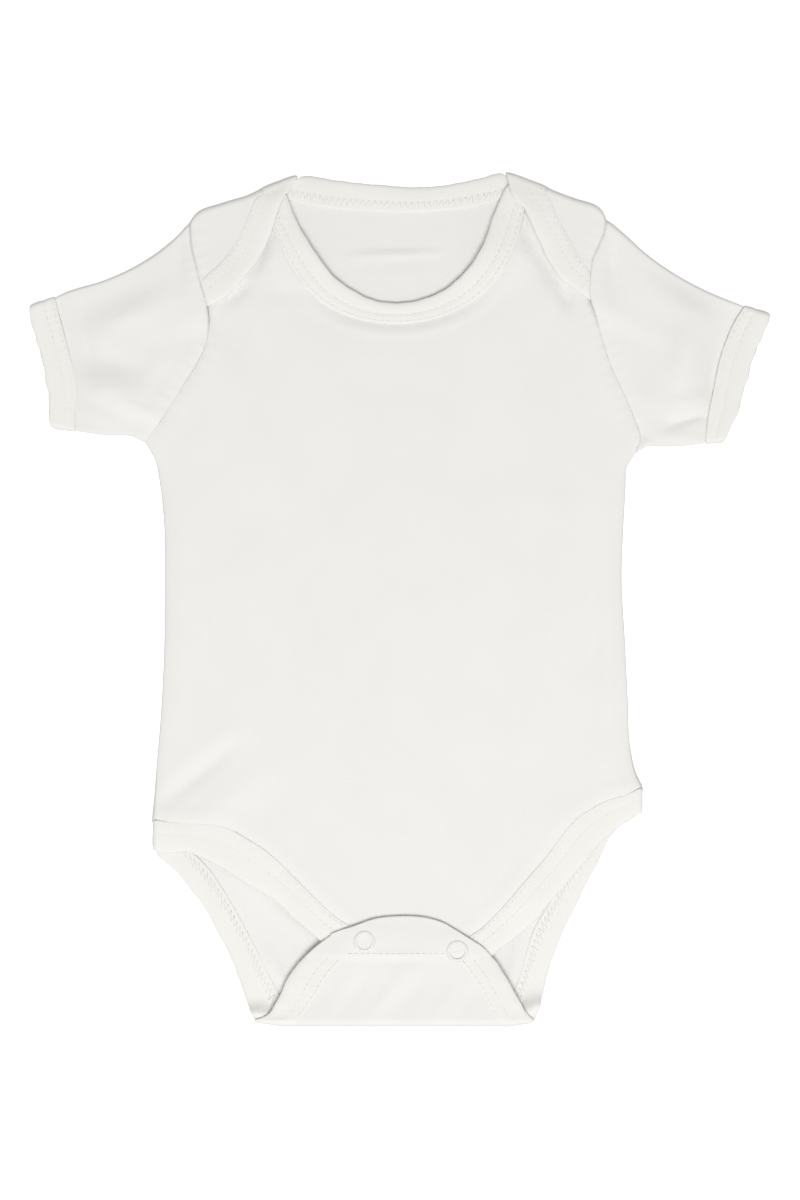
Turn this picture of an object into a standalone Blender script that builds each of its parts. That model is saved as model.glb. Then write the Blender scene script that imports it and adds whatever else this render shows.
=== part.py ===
"""Short-sleeved baby bodysuit with lap shoulders and a snap crotch, laid flat with its front up.

The frame is metres with +Z up. The back lies on the plane z = 0, the neck points to +Y and the
origin is at the centre of the garment's outline. All sizes below are millimetres.

Every piece of cloth is worked out from the seams it is sewn by: the two panels are walls between
their seams, and each rib binding is a folded strip that starts at the same seam. The back panel
turns over the shoulders to make the laps and over the crotch to make the snap flap.
"""

import math

import bmesh
import bpy
import numpy as np

MM = 0.001

# Driving sizes.
CLOTH = 1.0  # one layer of interlock cotton
BINDING = 1.8  # a rib binding, folded in two
SEAM = 0.4  # gap between the pieces of a seam, shared by both sides
BACK_Z = CLOTH / 2  # middle of the back panel's wall, which lies on the ground
BACK_BINDING_Z = BINDING / 2
FRONT_Z = 3.0  # middle of the front panel's wall, clear of the back's bindings
SIDE_Z = 1.8  # the same where the front meets the back at the side seams
SIDE_ROUND = 9.0  # width of the rounded edge along a side seam
LAP_Z = 5.1  # middle of the shoulder laps, which lie on the front
FLAP_Z = 4.9  # middle of the crotch flap at the fold
SNAP_Z = 6.0  # the same where the snaps hold it over the front
BELLY_RISE = 0.7  # how far the middle of the front stands higher
BELLY_REACH = (61.0, 93.0)  # how far it spreads across and along the body
SLEEVE_RISE = 0.5
SHOULDER_REACH = 3.0  # from the shoulder fold's outer edge to where the flat cloth starts
CROTCH_REACH = 2.9
UNDERARM_REACH = 1.6  # length of the armhole's first step, where the sleeve folds
FLAP_LOW_Y, FLAP_HIGH_Y = -184.0, -160.0  # the flap climbs from the fold to the snaps between these
LAP_ENDS_LEFT = (139.6, 128.8)  # where the left lap's binding meets the armhole: seam y and edge y
LAP_ENDS_RIGHT = (144.0, 131.4)
LAP_TIP_GAP = 1.4  # from the binding's seam to the end of the lap's own cloth
HEM_GAP = 0.5  # between the flap's hem and the ends of its side bindings
HIP_REACH = BINDING / 2 + (FRONT_Z - BACK_BINDING_Z) / 2
EDGE_ROUND = ((1.1, 1.0), (0.3, 0.65), (0.0, 0.0))  # a binding's free edge: from the edge, share of half
SNAP_RADIUS, SNAP_HOLE, SNAP_HEIGHT = 5.2, 3.3, 1.0
CAP_SIDE, CAP_BEVEL, CAP_LIP, CAP_LIP_HEIGHT = 0.5, 0.4, 0.3, 0.6  # the cap's sides and its rounded rims
STUD_RADIUS, STUD_HOLE, STUD_HEIGHT = 4.3, 1.0, 0.9
SNAP_SIDES = 20
SNAP_CENTRES = ((-15.6, -149.8), (25.1, -154.0))
SNAP_GAP = 0.3
WELD = 0.005  # points closer than this are one
ORIGIN = np.array([0.03, 0.29, 0.0])  # centre of the outline, measured in the tables' own frame

# How finely the seams are divided. A seam has the same points on both of its sides.
ARM_STEPS, SIDE_STEPS, LEG_STEPS, LAP_STEPS, FLAP_STEPS = 15, 14, 14, 6, 6
STRAP_STEPS = 5  # the armhole's last steps, beside the neck
NECK_FRONT_STEPS, NECK_BACK_STEPS, SHOULDER_STEPS = 10, 10, 3
SLEEVE_STEPS, FOLD_STEPS = 8, 4
CURVE_STEPS, FINE_POINTS = 10, 200  # points between a curve's given ones, and along a whole seam
HIP_ROWS = 2  # steps of the side seam below the hip line

# Lines in plan, seen from above. The outline and every seam lie on them.
ARMHOLE_LEFT = [  # x, y
    (-111.8, 69.1), (-109.1, 72.6), (-102.1, 83.2), (-95.9, 93.3), (-90.2, 102.1), (-86.2, 109.6),
    (-84.5, 115.3), (-84, 122.8), (-84.9, 129.8), (-87.1, 138.2), (-89.3, 146.5), (-91.5, 154.9),
    (-92.4, 166.3),
]
ARMHOLE_RIGHT = [  # x, y
    (103, 64.2), (105.6, 71.3), (103.4, 78.3), (98.6, 89.8), (92.8, 102.1), (88, 116.6), (85.4, 126.3),
    (83.6, 131.6), (83.4, 143.9), (84.5, 150.5), (87.1, 155.8), (89.3, 161), (90.6, 167.6),
]
SIDE_LEFT = [  # x, y
    (-108.9, -96.6), (-107.8, -85.8), (-106.5, -70.4), (-104.7, -48.4), (-103.4, -22), (-103, 8.8),
    (-103.4, 33), (-105.2, 50.6), (-107.8, 62.5), (-111.8, 69.1),
]
SIDE_RIGHT = [  # x, y
    (106.9, -82.7), (103.8, -76.6), (101.2, -66), (99.9, -44), (98.6, -17.6), (97.2, 8.8), (98.1, 35.2),
    (99, 50.2), (99.4, 58.1), (103, 64.2),
]
SHOULDER_LEFT = [  # x, y
    (-92.4, 166.3), (-89.3, 170.3), (-78.3, 174.7), (-64.2, 179.1), (-60.7, 180.8),
]
SHOULDER_RIGHT = [  # x, y
    (90.6, 167.6), (88.9, 171.2), (75.2, 177.3), (66.9, 180.4), (63.4, 181.7),
]
SLEEVE_TOP_LEFT = [  # x, y
    (-92.4, 166.3), (-104.7, 154.4), (-116.6, 147), (-130.2, 141), (-147.8, 135.5), (-151.8, 133.8),
]
SLEEVE_TOP_RIGHT = [  # x, y
    (90.6, 167.6), (97.7, 161.9), (106.9, 153.6), (122.8, 142.6), (139, 134.2), (151.8, 129.8),
]
SLEEVE_UNDER_LEFT = [  # x, y
    (-111.8, 69.1), (-116.6, 71.7), (-129.4, 72.6), (-142.6, 73.5),
]
SLEEVE_UNDER_RIGHT = [  # x, y
    (103, 64.2), (107.8, 67.3), (115.3, 67.8), (125, 67.8), (134.2, 68.2),
]
FLAP_ARCH = [  # x, y
    (-47.1, -160.2), (-40.5, -152.9), (-34.3, -148.7), (-28.2, -145.6), (-21.6, -143.4),
    (-10.1, -139.5), (-1.3, -138.6), (5.7, -138.6), (12.8, -139.5), (19.4, -141.7), (24.6, -144.8),
    (30.8, -148.7), (37.8, -153.1), (42.7, -159.3),
]
CUFF_LEFT = [  # seam x, seam y, edge x, edge y
    (-151.8, 133.8, -162.1, 129.4), (-150.5, 128, -162.4, 124.1), (-148.9, 122.3, -161, 118.4),
    (-146.1, 111.8, -158.4, 110), (-143.4, 100.8, -155.8, 99.4), (-142.6, 91.5, -154.4, 89.8),
    (-142.8, 82.7, -154.4, 83.2), (-142.6, 73.5, -153.1, 76.1),
]
CUFF_RIGHT = [  # seam x, seam y, edge x, edge y
    (151.8, 129.8, 162.4, 125), (147, 122.3, 161, 119.7), (142.6, 112.2, 157.5, 112.2),
    (139.9, 103.4, 154.4, 104.3), (137.7, 92.4, 151.4, 93.3), (135.5, 81.4, 148.7, 83.2),
    (134.6, 74.8, 145.2, 76.1), (134.2, 68.2, 142.6, 69.5),
]
NECK_FRONT = [  # seam x, seam y, edge x, edge y
    (-59.8, 173.4, -50.2, 178.6), (-57.6, 166.8, -47.5, 171.6), (-53.7, 158.4, -44, 163.7),
    (-50.2, 150.5, -40, 157.1), (-46.2, 143.9, -36.1, 150.9), (-41.4, 137.3, -31.7, 144.8),
    (-34.8, 131.1, -26.4, 139.9), (-26.4, 126.3, -19.4, 135.1), (-15.4, 122.8, -11, 131.6),
    (-0.9, 121.4, -0.4, 130.5), (11.9, 122.8, 9.7, 132), (23.8, 126.7, 18.9, 136),
    (33.9, 132.4, 26, 141.2), (42.2, 141.2, 32.6, 149.2), (48, 150.5, 37.4, 158),
    (51.5, 158.4, 40, 165.9), (54.1, 168.5, 43.1, 173.8), (55.9, 176.4, 46.2, 180.8),
]
NECK_BACK = [  # seam x, seam y, edge x, edge y
    (-60.7, 180.8, -48, 186.1), (-53, 177, -41.5, 186.3), (-44, 174.7, -36, 185.9),
    (-30.4, 172.5, -28.2, 184.4), (-15.4, 171.2, -14.5, 183), (0, 170.7, 0, 181.7),
    (15.4, 171.2, 14.1, 181.7), (29.9, 172.9, 26.8, 183.5), (42.7, 175.6, 37.4, 186.1),
    (53.7, 178.6, 44, 187.9), (63.4, 181.7, 49.7, 187.9),
]
LAP_LEFT = [  # seam x, seam y, edge x, edge y
    (-60.7, 180.8, -48, 186.1), (-63.4, 175.6, -50.6, 174.7), (-66, 169.8, -53.7, 168.1),
    (-68.2, 165, -56.3, 161.5), (-71.3, 158, -59.4, 154), (-76.1, 150.9, -63.8, 147),
    (-80.1, 146.5, -70.4, 139), (-84.5, 142.6, -77, 132.3),
]
LAP_RIGHT = [  # seam x, seam y, edge x, edge y
    (63.4, 181.7, 49.7, 187.9), (66.4, 177.3, 52.8, 179.5), (68.2, 172.9, 55, 172),
    (71.7, 164.6, 58.5, 163.2), (74.8, 158.4, 60.7, 157.5), (77.9, 152.2, 65.1, 148.3),
    (80.5, 147.8, 71.3, 140.4),
]
LEG_FRONT_LEFT = [  # seam x, seam y, edge x, edge y
    (-108.9, -96.6, -109.1, -110), (-102.1, -97.2, -102.1, -111.3), (-94.6, -97.9, -94.6, -110.4),
    (-85.8, -98.1, -88.9, -112.2), (-75.2, -100.3, -82.7, -115.3), (-67.3, -104.7, -75.7, -119.2),
    (-59.4, -109.6, -68.2, -124.1), (-51.5, -116.6, -60.7, -128), (-43.6, -124.5, -52.8, -133.8),
    (-35.6, -132.4, -44.9, -141.2), (-29.5, -138.2, -38.3, -147), (-22.4, -143, -30.8, -153.1),
    (-15.8, -148.7, -25.1, -158.4), (-9.7, -160.2, -21.1, -161.9),
]
LEG_FRONT_RIGHT = [  # seam x, seam y, edge x, edge y
    (106.9, -82.7, 106.9, -93.7), (99.4, -85.4, 101.2, -95.9), (91.5, -87.6, 95.5, -99.9),
    (84.5, -91.1, 89.8, -104.7), (76.1, -97.2, 84.5, -110.9), (70, -104.7, 79.2, -117.5),
    (63.8, -113.1, 73.5, -124.1), (55.4, -122.8, 66.4, -132.4), (48.4, -131.1, 58.5, -141.2),
    (41.8, -138.2, 50.6, -148.3), (36.1, -143.9, 44, -153.1), (29.9, -148.3, 38.3, -158),
    (21.6, -160.2, 33, -161.9),
]
LEG_BACK_LEFT = [  # seam x, seam y, edge x, edge y
    (-108.9, -96.6, -109.1, -110), (-103, -101.6, -106.5, -112.6), (-96.8, -106.5, -102.1, -116.2),
    (-90.2, -111.8, -97.2, -120.6), (-84.5, -117.5, -92.4, -126.7), (-78.3, -126.3, -87.6, -132.9),
    (-72.2, -136.4, -82.3, -141.7), (-67.3, -145.6, -77.9, -150), (-62.5, -154.4, -73.5, -159.3),
    (-58.5, -162.8, -70.4, -167.6), (-53.7, -172, -67.3, -176.4), (-49.3, -179.5, -65.1, -181.7),
    (-45.3, -187.2, -62.5, -187.2),
]
LEG_BACK_RIGHT = [  # seam x, seam y, edge x, edge y
    (106.9, -82.7, 106.9, -93.7), (100.3, -88, 102.1, -96.4), (93.3, -93.7, 95.9, -100.3),
    (86.2, -101.2, 91.1, -106.5), (81, -109.1, 87.1, -115.3), (75.2, -117.9, 82.7, -123.2),
    (69.1, -127.6, 77.9, -133.3), (63.8, -136, 73.5, -141.7), (58.5, -145.6, 69.5, -151.4),
    (55.4, -154.9, 66.9, -158), (53.2, -163.2, 64.7, -165), (50.2, -171.6, 62.9, -172.9),
    (46.6, -179.5, 61.2, -179.1), (42.7, -187.2, 57.6, -187.2),
]
FLAP_SIDE_LEFT = [  # seam x, seam y, edge x, edge y
    (-45.3, -187.2, -62.5, -187.2), (-42.2, -181.7, -58.5, -182.2), (-39.2, -177.3, -55, -177.3),
    (-35.6, -172, -52.4, -172), (-33, -167.2, -49.7, -165.9), (-31.7, -165, -47.5, -161.5),
]
FLAP_SIDE_RIGHT = [  # seam x, seam y, edge x, edge y
    (42.7, -187.2, 57.6, -187.2), (40.5, -181.7, 56.3, -181.7), (37.4, -176, 52.8, -176.4),
    (33.9, -169.8, 49.3, -170.3), (30.8, -164.6, 45.3, -163.7), (29.5, -162.4, 43.1, -160.6),
]

# The largest creases of the upper layer: from, to, half width and depth of each soft trough.
CREASES = [  # x, y, x, y, width, depth
    (-101.0, -86.0, -76.0, -66.0, 5.0, 0.6),  # left hip
    (84.0, 30.0, 82.0, -82.0, 5.0, 0.4),  # along the right side
    (-80.0, 130.0, -72.0, 110.0, 5.0, 0.6),  # under the left lap
    (-56.0, 136.0, -44.0, 136.0, 4.0, 0.5),  # beside the neck, left
    (58.0, 160.0, 74.0, 128.0, 5.0, 0.6),  # under the right lap
    (-121.0, 99.0, -113.0, 82.0, 4.5, 0.6),  # left sleeve
    (-96.0, 164.0, -97.0, 138.0, 4.0, 0.5),
    (93.0, 154.0, 94.0, 134.0, 4.0, 0.5),  # right sleeve
    (136.0, 112.0, 134.0, 84.0, 4.5, 0.6),
    (120.0, 77.0, 133.0, 82.0, 3.0, 0.7),
]
LAP_TAIL = 14.0  # how soon a sleeve comes down from the lap's height below the lap's tip


def spline(rows, count):
    """count + 1 rows evenly spaced along a smooth curve through the given ones."""
    rows = np.array(rows, float)
    step = np.linalg.norm(np.diff(rows[:, :2], axis=0), axis=1)[:, None]
    slope = np.diff(rows, axis=0) / step
    middle = (step[:-1] * slope[1:] + step[1:] * slope[:-1]) / (step[:-1] + step[1:])
    tangent = np.vstack([slope[:1], middle, slope[-1:]])
    fine = [rows[:1]]
    for i, length in enumerate(step[:, 0]):
        t = np.linspace(0.0, 1.0, CURVE_STEPS + 1)[1:, None]
        fine.append(
            (2 * t**3 - 3 * t**2 + 1) * rows[i]
            + (t**3 - 2 * t**2 + t) * length * tangent[i]
            + (3 * t**2 - 2 * t**3) * rows[i + 1]
            + (t**3 - t**2) * length * tangent[i + 1]
        )
    return resample(np.vstack(fine), np.linspace(0.0, 1.0, count + 1))


def lengths(line):
    """Distance walked along a line's points, from its first one."""
    steps = np.linalg.norm(np.diff(line[:, :2], axis=0), axis=1)
    return np.concatenate([[0.0], np.cumsum(steps)])


def resample(line, shares):
    walked = lengths(line)
    at = np.array(shares) * walked[-1]
    return np.column_stack([np.interp(at, walked, column) for column in line.T])


def with_ends(rows, first, last, count):
    """A curve's points with a short step of the given length at each end, for a fold."""
    fine = spline(rows, FINE_POINTS)
    total = lengths(fine)[-1]
    inner = np.linspace(first / total, 1.0 - last / total, count - 1)
    return resample(fine, np.concatenate([[0.0], inner, [1.0]]))


def unit(vectors):
    return vectors / np.linalg.norm(vectors, axis=-1, keepdims=True)


def sideways(line, away_from):
    """Unit normals of a line in plan, on the side away from a given point."""
    tangent = unit(np.gradient(line, axis=0))
    normal = np.column_stack([-tangent[:, 1], tangent[:, 0]])
    outward = np.sum(normal * (line - np.array(away_from)), axis=1) > 0
    return np.where(outward[:, None], normal, -normal)


def patch(bottom, top, left, right):
    """Rows of plan points filled in between four edges that share their corners."""
    u = (lengths(bottom) / lengths(bottom)[-1] + lengths(top) / lengths(top)[-1]) / 2
    v = (lengths(left) / lengths(left)[-1] + lengths(right) / lengths(right)[-1]) / 2
    u, v = u[None, :, None], v[:, None, None]
    across = (1 - v) * bottom[None] + v * top[None]
    along = (1 - u) * left[:, None] + u * right[:, None]
    corners = (
        (1 - u) * (1 - v) * bottom[0] + u * (1 - v) * bottom[-1] + (1 - u) * v * top[0] + u * v * top[-1]
    )
    return across + along - corners


def distance(points, line):
    """Distance in plan from each point to a line through the given rows."""
    points, best = np.array(points, float), None
    for start, end in zip(line[:-1], line[1:]):
        run = end - start
        share = np.clip(((points - start) @ run) / (run @ run), 0.0, 1.0)
        away = np.linalg.norm(points - start - share[..., None] * run, axis=-1)
        best = away if best is None else np.minimum(best, away)
    return best


def troughs(points):
    """Depth of the creases at each plan point."""
    depth = np.zeros(points.shape[:-1])
    for *ends, width, deep in CREASES:
        line = np.array(ends).reshape(2, 2)
        depth += deep * np.exp(-((distance(points, line) / width) ** 2))
    return depth


def front_z(points):
    """Middle of the front panel's wall: raised at the belly, lower at the side seams and creases."""
    points = np.array(points, float)
    rise = np.exp(-((points[..., 0] / BELLY_REACH[0]) ** 2) - (points[..., 1] / BELLY_REACH[1]) ** 2)
    near = np.minimum(distance(points, SIDE_L), distance(points, SIDE_R))
    edge = np.clip(1.0 - near / SIDE_ROUND, 0.0, 1.0)
    height = FRONT_Z + BELLY_RISE * rise - troughs(points)
    return SIDE_Z + (height - SIDE_Z) * np.sqrt(1.0 - edge**2)


def flap_z(points):
    """Middle of the crotch flap's wall, which climbs from the fold to the snaps."""
    share = (np.array(points)[..., 1] - FLAP_LOW_Y) / (FLAP_HIGH_Y - FLAP_LOW_Y)
    share = np.clip(share, 0.0, 1.0)
    return FLAP_Z + (SNAP_Z - FLAP_Z) * share * share * (3 - 2 * share)


def raised(plan, height):
    """Plan points lifted to a height, which is one number or one for each point."""
    return np.concatenate([plan, np.broadcast_to(height, plan.shape[:-1])[..., None]], axis=-1)


def arc(points, outward, low, high):
    """Rows of points round a fold, from the lower layer to the upper one, with both ends left out."""
    radius = np.asarray((high - low) / 2)
    rows = []
    for step in range(1, FOLD_STEPS * 2):
        angle = math.pi * step / (FOLD_STEPS * 2)
        plan = points + outward * (radius * math.sin(angle))[..., None]
        rows.append(raised(plan, low + radius * (1 - math.cos(angle))))
    return rows


def arms(rows):
    """An armhole's seam line, from the underarm to the shoulder, and its outward normals."""
    line = with_ends(rows, UNDERARM_REACH, SHOULDER_REACH, ARM_STEPS)
    return line, sideways(line, CHEST)


def drawn_in(rows, outward, reach):
    """Binding rows whose first one is moved from a fold's outer edge to where the cloth lies flat."""
    rows = np.array(rows, float)
    rows[0] -= np.tile(outward, 2) * reach
    return rows


def across(band):
    """Unit vectors from a binding's seam to its free edge."""
    return unit(band[:, 2:] - band[:, :2])


def beside(band):
    """The edge of the panel that a binding is sewn to."""
    return band[:, :2] - across(band) * SEAM / 2


def row_between(start, end, shares):
    return start + (end - start) * np.array(shares)[:, None]


def point_at(line, y):
    """Point of an armhole's line at a given height."""
    order = np.argsort(line[:, 1])
    return np.array([np.interp(y, line[order, 1], line[order, 0]), y])


CHEST = np.array([0.0, 120.0])  # a point between the armholes
SIDE_L, SIDE_R = spline(SIDE_LEFT, SIDE_STEPS), spline(SIDE_RIGHT, SIDE_STEPS)
ARM_L, OUT_L = arms(ARMHOLE_LEFT)
ARM_R, OUT_R = arms(ARMHOLE_RIGHT)
ARM_IN_L, ARM_IN_R = ARM_L - OUT_L * SEAM / 2, ARM_R - OUT_R * SEAM / 2
# Directions out of the folds at the shoulders' neck ends and at the crotch.
SHOULDER_OUT_L, SHOULDER_OUT_R = unit(np.array([-0.352, 0.936])), unit(np.array([0.384, 0.923]))
DOWN = np.array([0.0, -1.0])

# Each binding's seam and free edge where it lies flat, from one fold to the next.
NECK_F = spline(NECK_FRONT, 2 * STRAP_STEPS + NECK_FRONT_STEPS)
NECK_B = spline(
    drawn_in(drawn_in(NECK_BACK, SHOULDER_OUT_L, SHOULDER_REACH)[::-1], SHOULDER_OUT_R, SHOULDER_REACH)[::-1],
    NECK_BACK_STEPS,
)


def lap_band(rows, arm, outward, ends):
    """A lap's binding, from the shoulder fold to its end on the armhole."""
    end = np.concatenate([point_at(arm, ends[0]), point_at(arm, ends[1])])
    return spline(np.vstack([drawn_in(rows, outward, SHOULDER_REACH), end]), LAP_STEPS)


LAP_L = lap_band(LAP_LEFT, ARM_L - OUT_L * SEAM, SHOULDER_OUT_L, LAP_ENDS_LEFT)
LAP_R = lap_band(LAP_RIGHT, ARM_R - OUT_R * SEAM, SHOULDER_OUT_R, LAP_ENDS_RIGHT)


def leg_bands(front, back, flap, side):
    """A leg's binding on the front, on the back and on the flap, each drawn in from its folds."""
    front = drawn_in(front, side, HIP_REACH)
    back = drawn_in(drawn_in(back, side, HIP_REACH)[::-1], DOWN, CROTCH_REACH)[::-1]
    flap = drawn_in(flap, DOWN, CROTCH_REACH)
    return spline(front, LEG_STEPS), spline(back, LEG_STEPS), spline(flap, FLAP_STEPS)


LEFTWARD, RIGHTWARD = np.array([-1.0, 0.0]), np.array([1.0, 0.0])
LEG_L = leg_bands(LEG_FRONT_LEFT, LEG_BACK_LEFT, FLAP_SIDE_LEFT, LEFTWARD)
LEG_R = leg_bands(LEG_FRONT_RIGHT, LEG_BACK_RIGHT, FLAP_SIDE_RIGHT, RIGHTWARD)


def side_line(side, arm_in, band):
    """A panel's side edge from the hip corner, clear of the leg's binding, to the armhole."""
    line = side.copy()
    line[0] -= across(band)[0] * SEAM / 2
    line[-1] = arm_in[0]
    return line


def lower_blocks(left_band, right_band, shares, hip_columns):
    """A panel between its leg bindings: the crotch, the hips, and the body up to the underarms."""
    left_side = side_line(SIDE_L, ARM_IN_L, left_band)
    right_side = side_line(SIDE_R, ARM_IN_R, right_band)
    left, right = beside(left_band), beside(right_band)
    even = np.linspace(0.0, 1.0, len(shares) - 2 * hip_columns)
    end = row_between(left[-1], right[-1], even)
    turn = hip_columns - 1
    waist = row_between(left[turn], right[turn], even)
    crotch = patch(end, waist, left[turn:][::-1], right[turn:][::-1])
    hem = np.vstack([left_side[:1], left[:turn], waist, right[:turn][::-1], right_side[:1]])
    line = row_between(left_side[HIP_ROWS], right_side[HIP_ROWS], shares)
    hips = patch(hem, line, left_side[: HIP_ROWS + 1], right_side[: HIP_ROWS + 1])
    under = row_between(left_side[-1], right_side[-1], shares)
    return [crotch, hips, patch(line, under, left_side[HIP_ROWS:], right_side[HIP_ROWS:])]


FAN = 0.6  # how soon the shoulder fold's direction turns from the armhole's to the neck's


def shoulder_fold(arm_in, rows, seam_start, outward):
    """Where a shoulder's flat cloth starts, from the armhole to the neck seam, and its directions."""
    ridge = spline(rows, SHOULDER_STEPS)
    first = unit(arm_in[-1] - arm_in[-2])
    shares = np.linspace(0.0, 1.0, SHOULDER_STEPS + 1)[:, None] ** FAN
    normals = unit(first * (1 - shares) + outward * shares)
    start = ridge - normals * SHOULDER_REACH
    start[0], start[-1] = arm_in[-2], seam_start
    return start, normals


def lap_block(arm_in, band, start, seam_y):
    """A lap's plan, from the shoulder fold down to its tip on the armhole."""
    tip_y = seam_y + LAP_TIP_GAP
    upper = arm_in[:-1][arm_in[:-1, 1] > tip_y][::-1]
    left = resample(np.vstack([upper, point_at(arm_in, tip_y)]), np.linspace(0, 1, LAP_STEPS + 1))
    right = beside(band)
    tip = row_between(left[-1], right[-1], np.linspace(0, 1, len(start)))
    return patch(start, tip, left, right)


def back_panel():
    """One piece of cloth: the back, the two shoulder laps and the crotch flap."""
    left_neck = shoulder_fold(ARM_IN_L, SHOULDER_LEFT, beside(NECK_B)[0], SHOULDER_OUT_L)
    right_neck = shoulder_fold(ARM_IN_R, SHOULDER_RIGHT, beside(NECK_B)[-1], SHOULDER_OUT_R)
    shares = np.linspace(0.0, 1.0, 2 * SHOULDER_STEPS + NECK_BACK_STEPS + 1)
    blocks = lower_blocks(LEG_L[1], LEG_R[1], shares, SHOULDER_STEPS)
    top = np.vstack([left_neck[0], beside(NECK_B)[1:-1], right_neck[0][::-1]])
    blocks.append(patch(blocks[-1][-1], top, ARM_IN_L[:-1], ARM_IN_R[:-1]))
    sheets = [[raised(row, BACK_Z) for row in block] for block in blocks]
    for (start, normals), arm, band, seam_y in (
        (left_neck, ARM_IN_L, LAP_L, LAP_ENDS_LEFT[0]),
        (right_neck, ARM_IN_R, LAP_R, LAP_ENDS_RIGHT[0]),
    ):
        lap = lap_block(arm, band, start, seam_y)
        fold = arc(start, normals, BACK_Z, LAP_Z)
        sheets.append([raised(start, BACK_Z), *fold, *(raised(row, LAP_Z) for row in lap)])
    crotch = blocks[0][0]
    sides = [beside(LEG_L[2]), beside(LEG_R[2])]
    even = np.linspace(0.0, 1.0, len(crotch))
    flap = patch(crotch, row_between(sides[0][-1], sides[1][-1], even), *sides)
    fold = arc(crotch, np.tile(DOWN, (len(crotch), 1)), BACK_Z, FLAP_Z)
    sheets.append([raised(crotch, BACK_Z), *fold, *(raised(row, flap_z(row)) for row in flap)])
    sheets.append([raised(row, flap_z(row)) for row in flap_hem(flap[-1])])
    return sheets


def flap_hem(row):
    """The flap's hem, from the ends of its side bindings to the arch."""
    wings = []
    for band in (LEG_L[2], LEG_R[2]):
        ahead = unit(band[-1, :2] - band[-2, :2])
        outer = band[-1, 2:] + ahead * HEM_GAP
        middle = (band[-1, 2:] + band[-1, :2]) / 2 + ahead * HEM_GAP
        wings.append(np.array([outer, middle]))
    bottom = np.vstack([wings[0], row, wings[1][::-1]])
    arch = spline(FLAP_ARCH, len(bottom) - 1)
    steps = np.linspace(0.0, 1.0, FLAP_STEPS + 1)
    left, right = (row_between(bottom[end], arch[end], steps) for end in (0, -1))
    return patch(bottom, arch, left, right)


# How the front panel's columns are spread, closer at the rounded side edges.
STRAP_SHARES = (0.0, 0.045, 0.14, 0.32, 0.6, 1.0)
STRAP_WIDTH = 0.22


def front_panel():
    strap = np.array(STRAP_SHARES) * STRAP_WIDTH
    middle = np.linspace(STRAP_WIDTH, 1 - STRAP_WIDTH, NECK_FRONT_STEPS + 1)
    shares = np.concatenate([strap, middle[1:-1], 1 - strap[::-1]])
    blocks = lower_blocks(LEG_L[0], LEG_R[0], shares, STRAP_STEPS)
    neck = beside(NECK_F)
    first, last = STRAP_STEPS, len(neck) - 1 - STRAP_STEPS
    base = len(ARM_L) - 2 - STRAP_STEPS
    left_base = row_between(ARM_IN_L[base], neck[first], STRAP_SHARES)
    right_base = row_between(ARM_IN_R[base], neck[last], STRAP_SHARES)
    chest = np.vstack([left_base, neck[first + 1 : last], right_base[::-1]])
    blocks.append(patch(blocks[-1][-1], chest, ARM_IN_L[: base + 1], ARM_IN_R[: base + 1]))
    left_top = row_between(ARM_IN_L[-2], neck[0], STRAP_SHARES)
    right_top = row_between(ARM_IN_R[-2], neck[-1], STRAP_SHARES)
    blocks.append(patch(left_base, left_top, ARM_IN_L[base:-1], neck[: first + 1][::-1]))
    blocks.append(patch(right_base, right_top, ARM_IN_R[base:-1], neck[last:]))
    return [[raised(row, front_z(row)) for row in block] for block in blocks]


def sleeve(arm, outward, cuff_rows, under_rows, top_rows, lap_edge_y):
    """Closed rings of a flattened sleeve, from the armhole to the cuff."""
    cuff = with_ends(np.array(cuff_rows)[::-1], HIP_REACH, HIP_REACH, ARM_STEPS)[:, :2]
    plan = patch(arm, cuff, spline(under_rows, SLEEVE_STEPS), spline(top_rows, SLEEVE_STEPS))
    plan[0] += outward * SEAM / 2
    plan[-1] += unit(plan[-2] - plan[-1]) * SEAM / 2
    lift = np.clip((arm[:, 1] - lap_edge_y + LAP_TAIL) / LAP_TAIL, 0.0, 1.0)
    lift = (LAP_Z - FRONT_Z) * lift * lift * (3 - 2 * lift)
    rings = []
    for step, row in enumerate(plan):
        share = step / SLEEVE_STEPS
        swell = SLEEVE_RISE * math.sin(math.pi * share) * np.sin(np.linspace(0, math.pi, len(row)))
        high = front_z(row) + swell + lift * (1 - share) ** 2
        rings.append(flat_ring(row, BACK_Z, high))
    return rings


def flat_ring(row, low, high):
    """A flattened tube's ring round a row of plan points whose first and last are its outer edges."""
    high = np.broadcast_to(high, len(row))
    lower, upper = raised(row, low)[1:-1], raised(row, high)[1:-1]
    top = arc(row[-2], unit(row[-1] - row[-2]), low, high[-2])
    bottom = arc(row[1], unit(row[0] - row[1]), low, high[1])
    return np.vstack([lower, *top, upper[::-1], *bottom[::-1]])


def cuff(cuff_rows):
    """A cuff binding's stations round the sleeve's end: seam points, edge points and wall directions."""
    rows = with_ends(np.array(cuff_rows)[::-1], HIP_REACH, HIP_REACH, ARM_STEPS)
    seam = flat_ring(rows[:, :2] + across(rows) * SEAM / 2, BACK_BINDING_Z, FRONT_Z)
    edge = flat_ring(rows[:, 2:], BACK_BINDING_Z, FRONT_Z)
    flat, turns = len(rows) - 2, 2 * FOLD_STEPS - 1
    ups = [(0, 0, 1)] * flat + fold_ups(rows[-1, :2] - rows[-2, :2], turns)
    ups += [(0, 0, -1)] * flat + fold_ups(rows[0, :2] - rows[1, :2], turns)[::-1]
    return list(zip(seam, edge, ups))


def fold_ups(outward, turns):
    """The wall's inward directions round a fold, from the lower layer to the upper one."""
    outward = unit(np.array(outward, float))
    angles = [math.pi * step / (turns + 1) for step in range(1, turns + 1)]
    return [(*(-math.sin(a) * outward), math.cos(a)) for a in angles]


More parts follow.
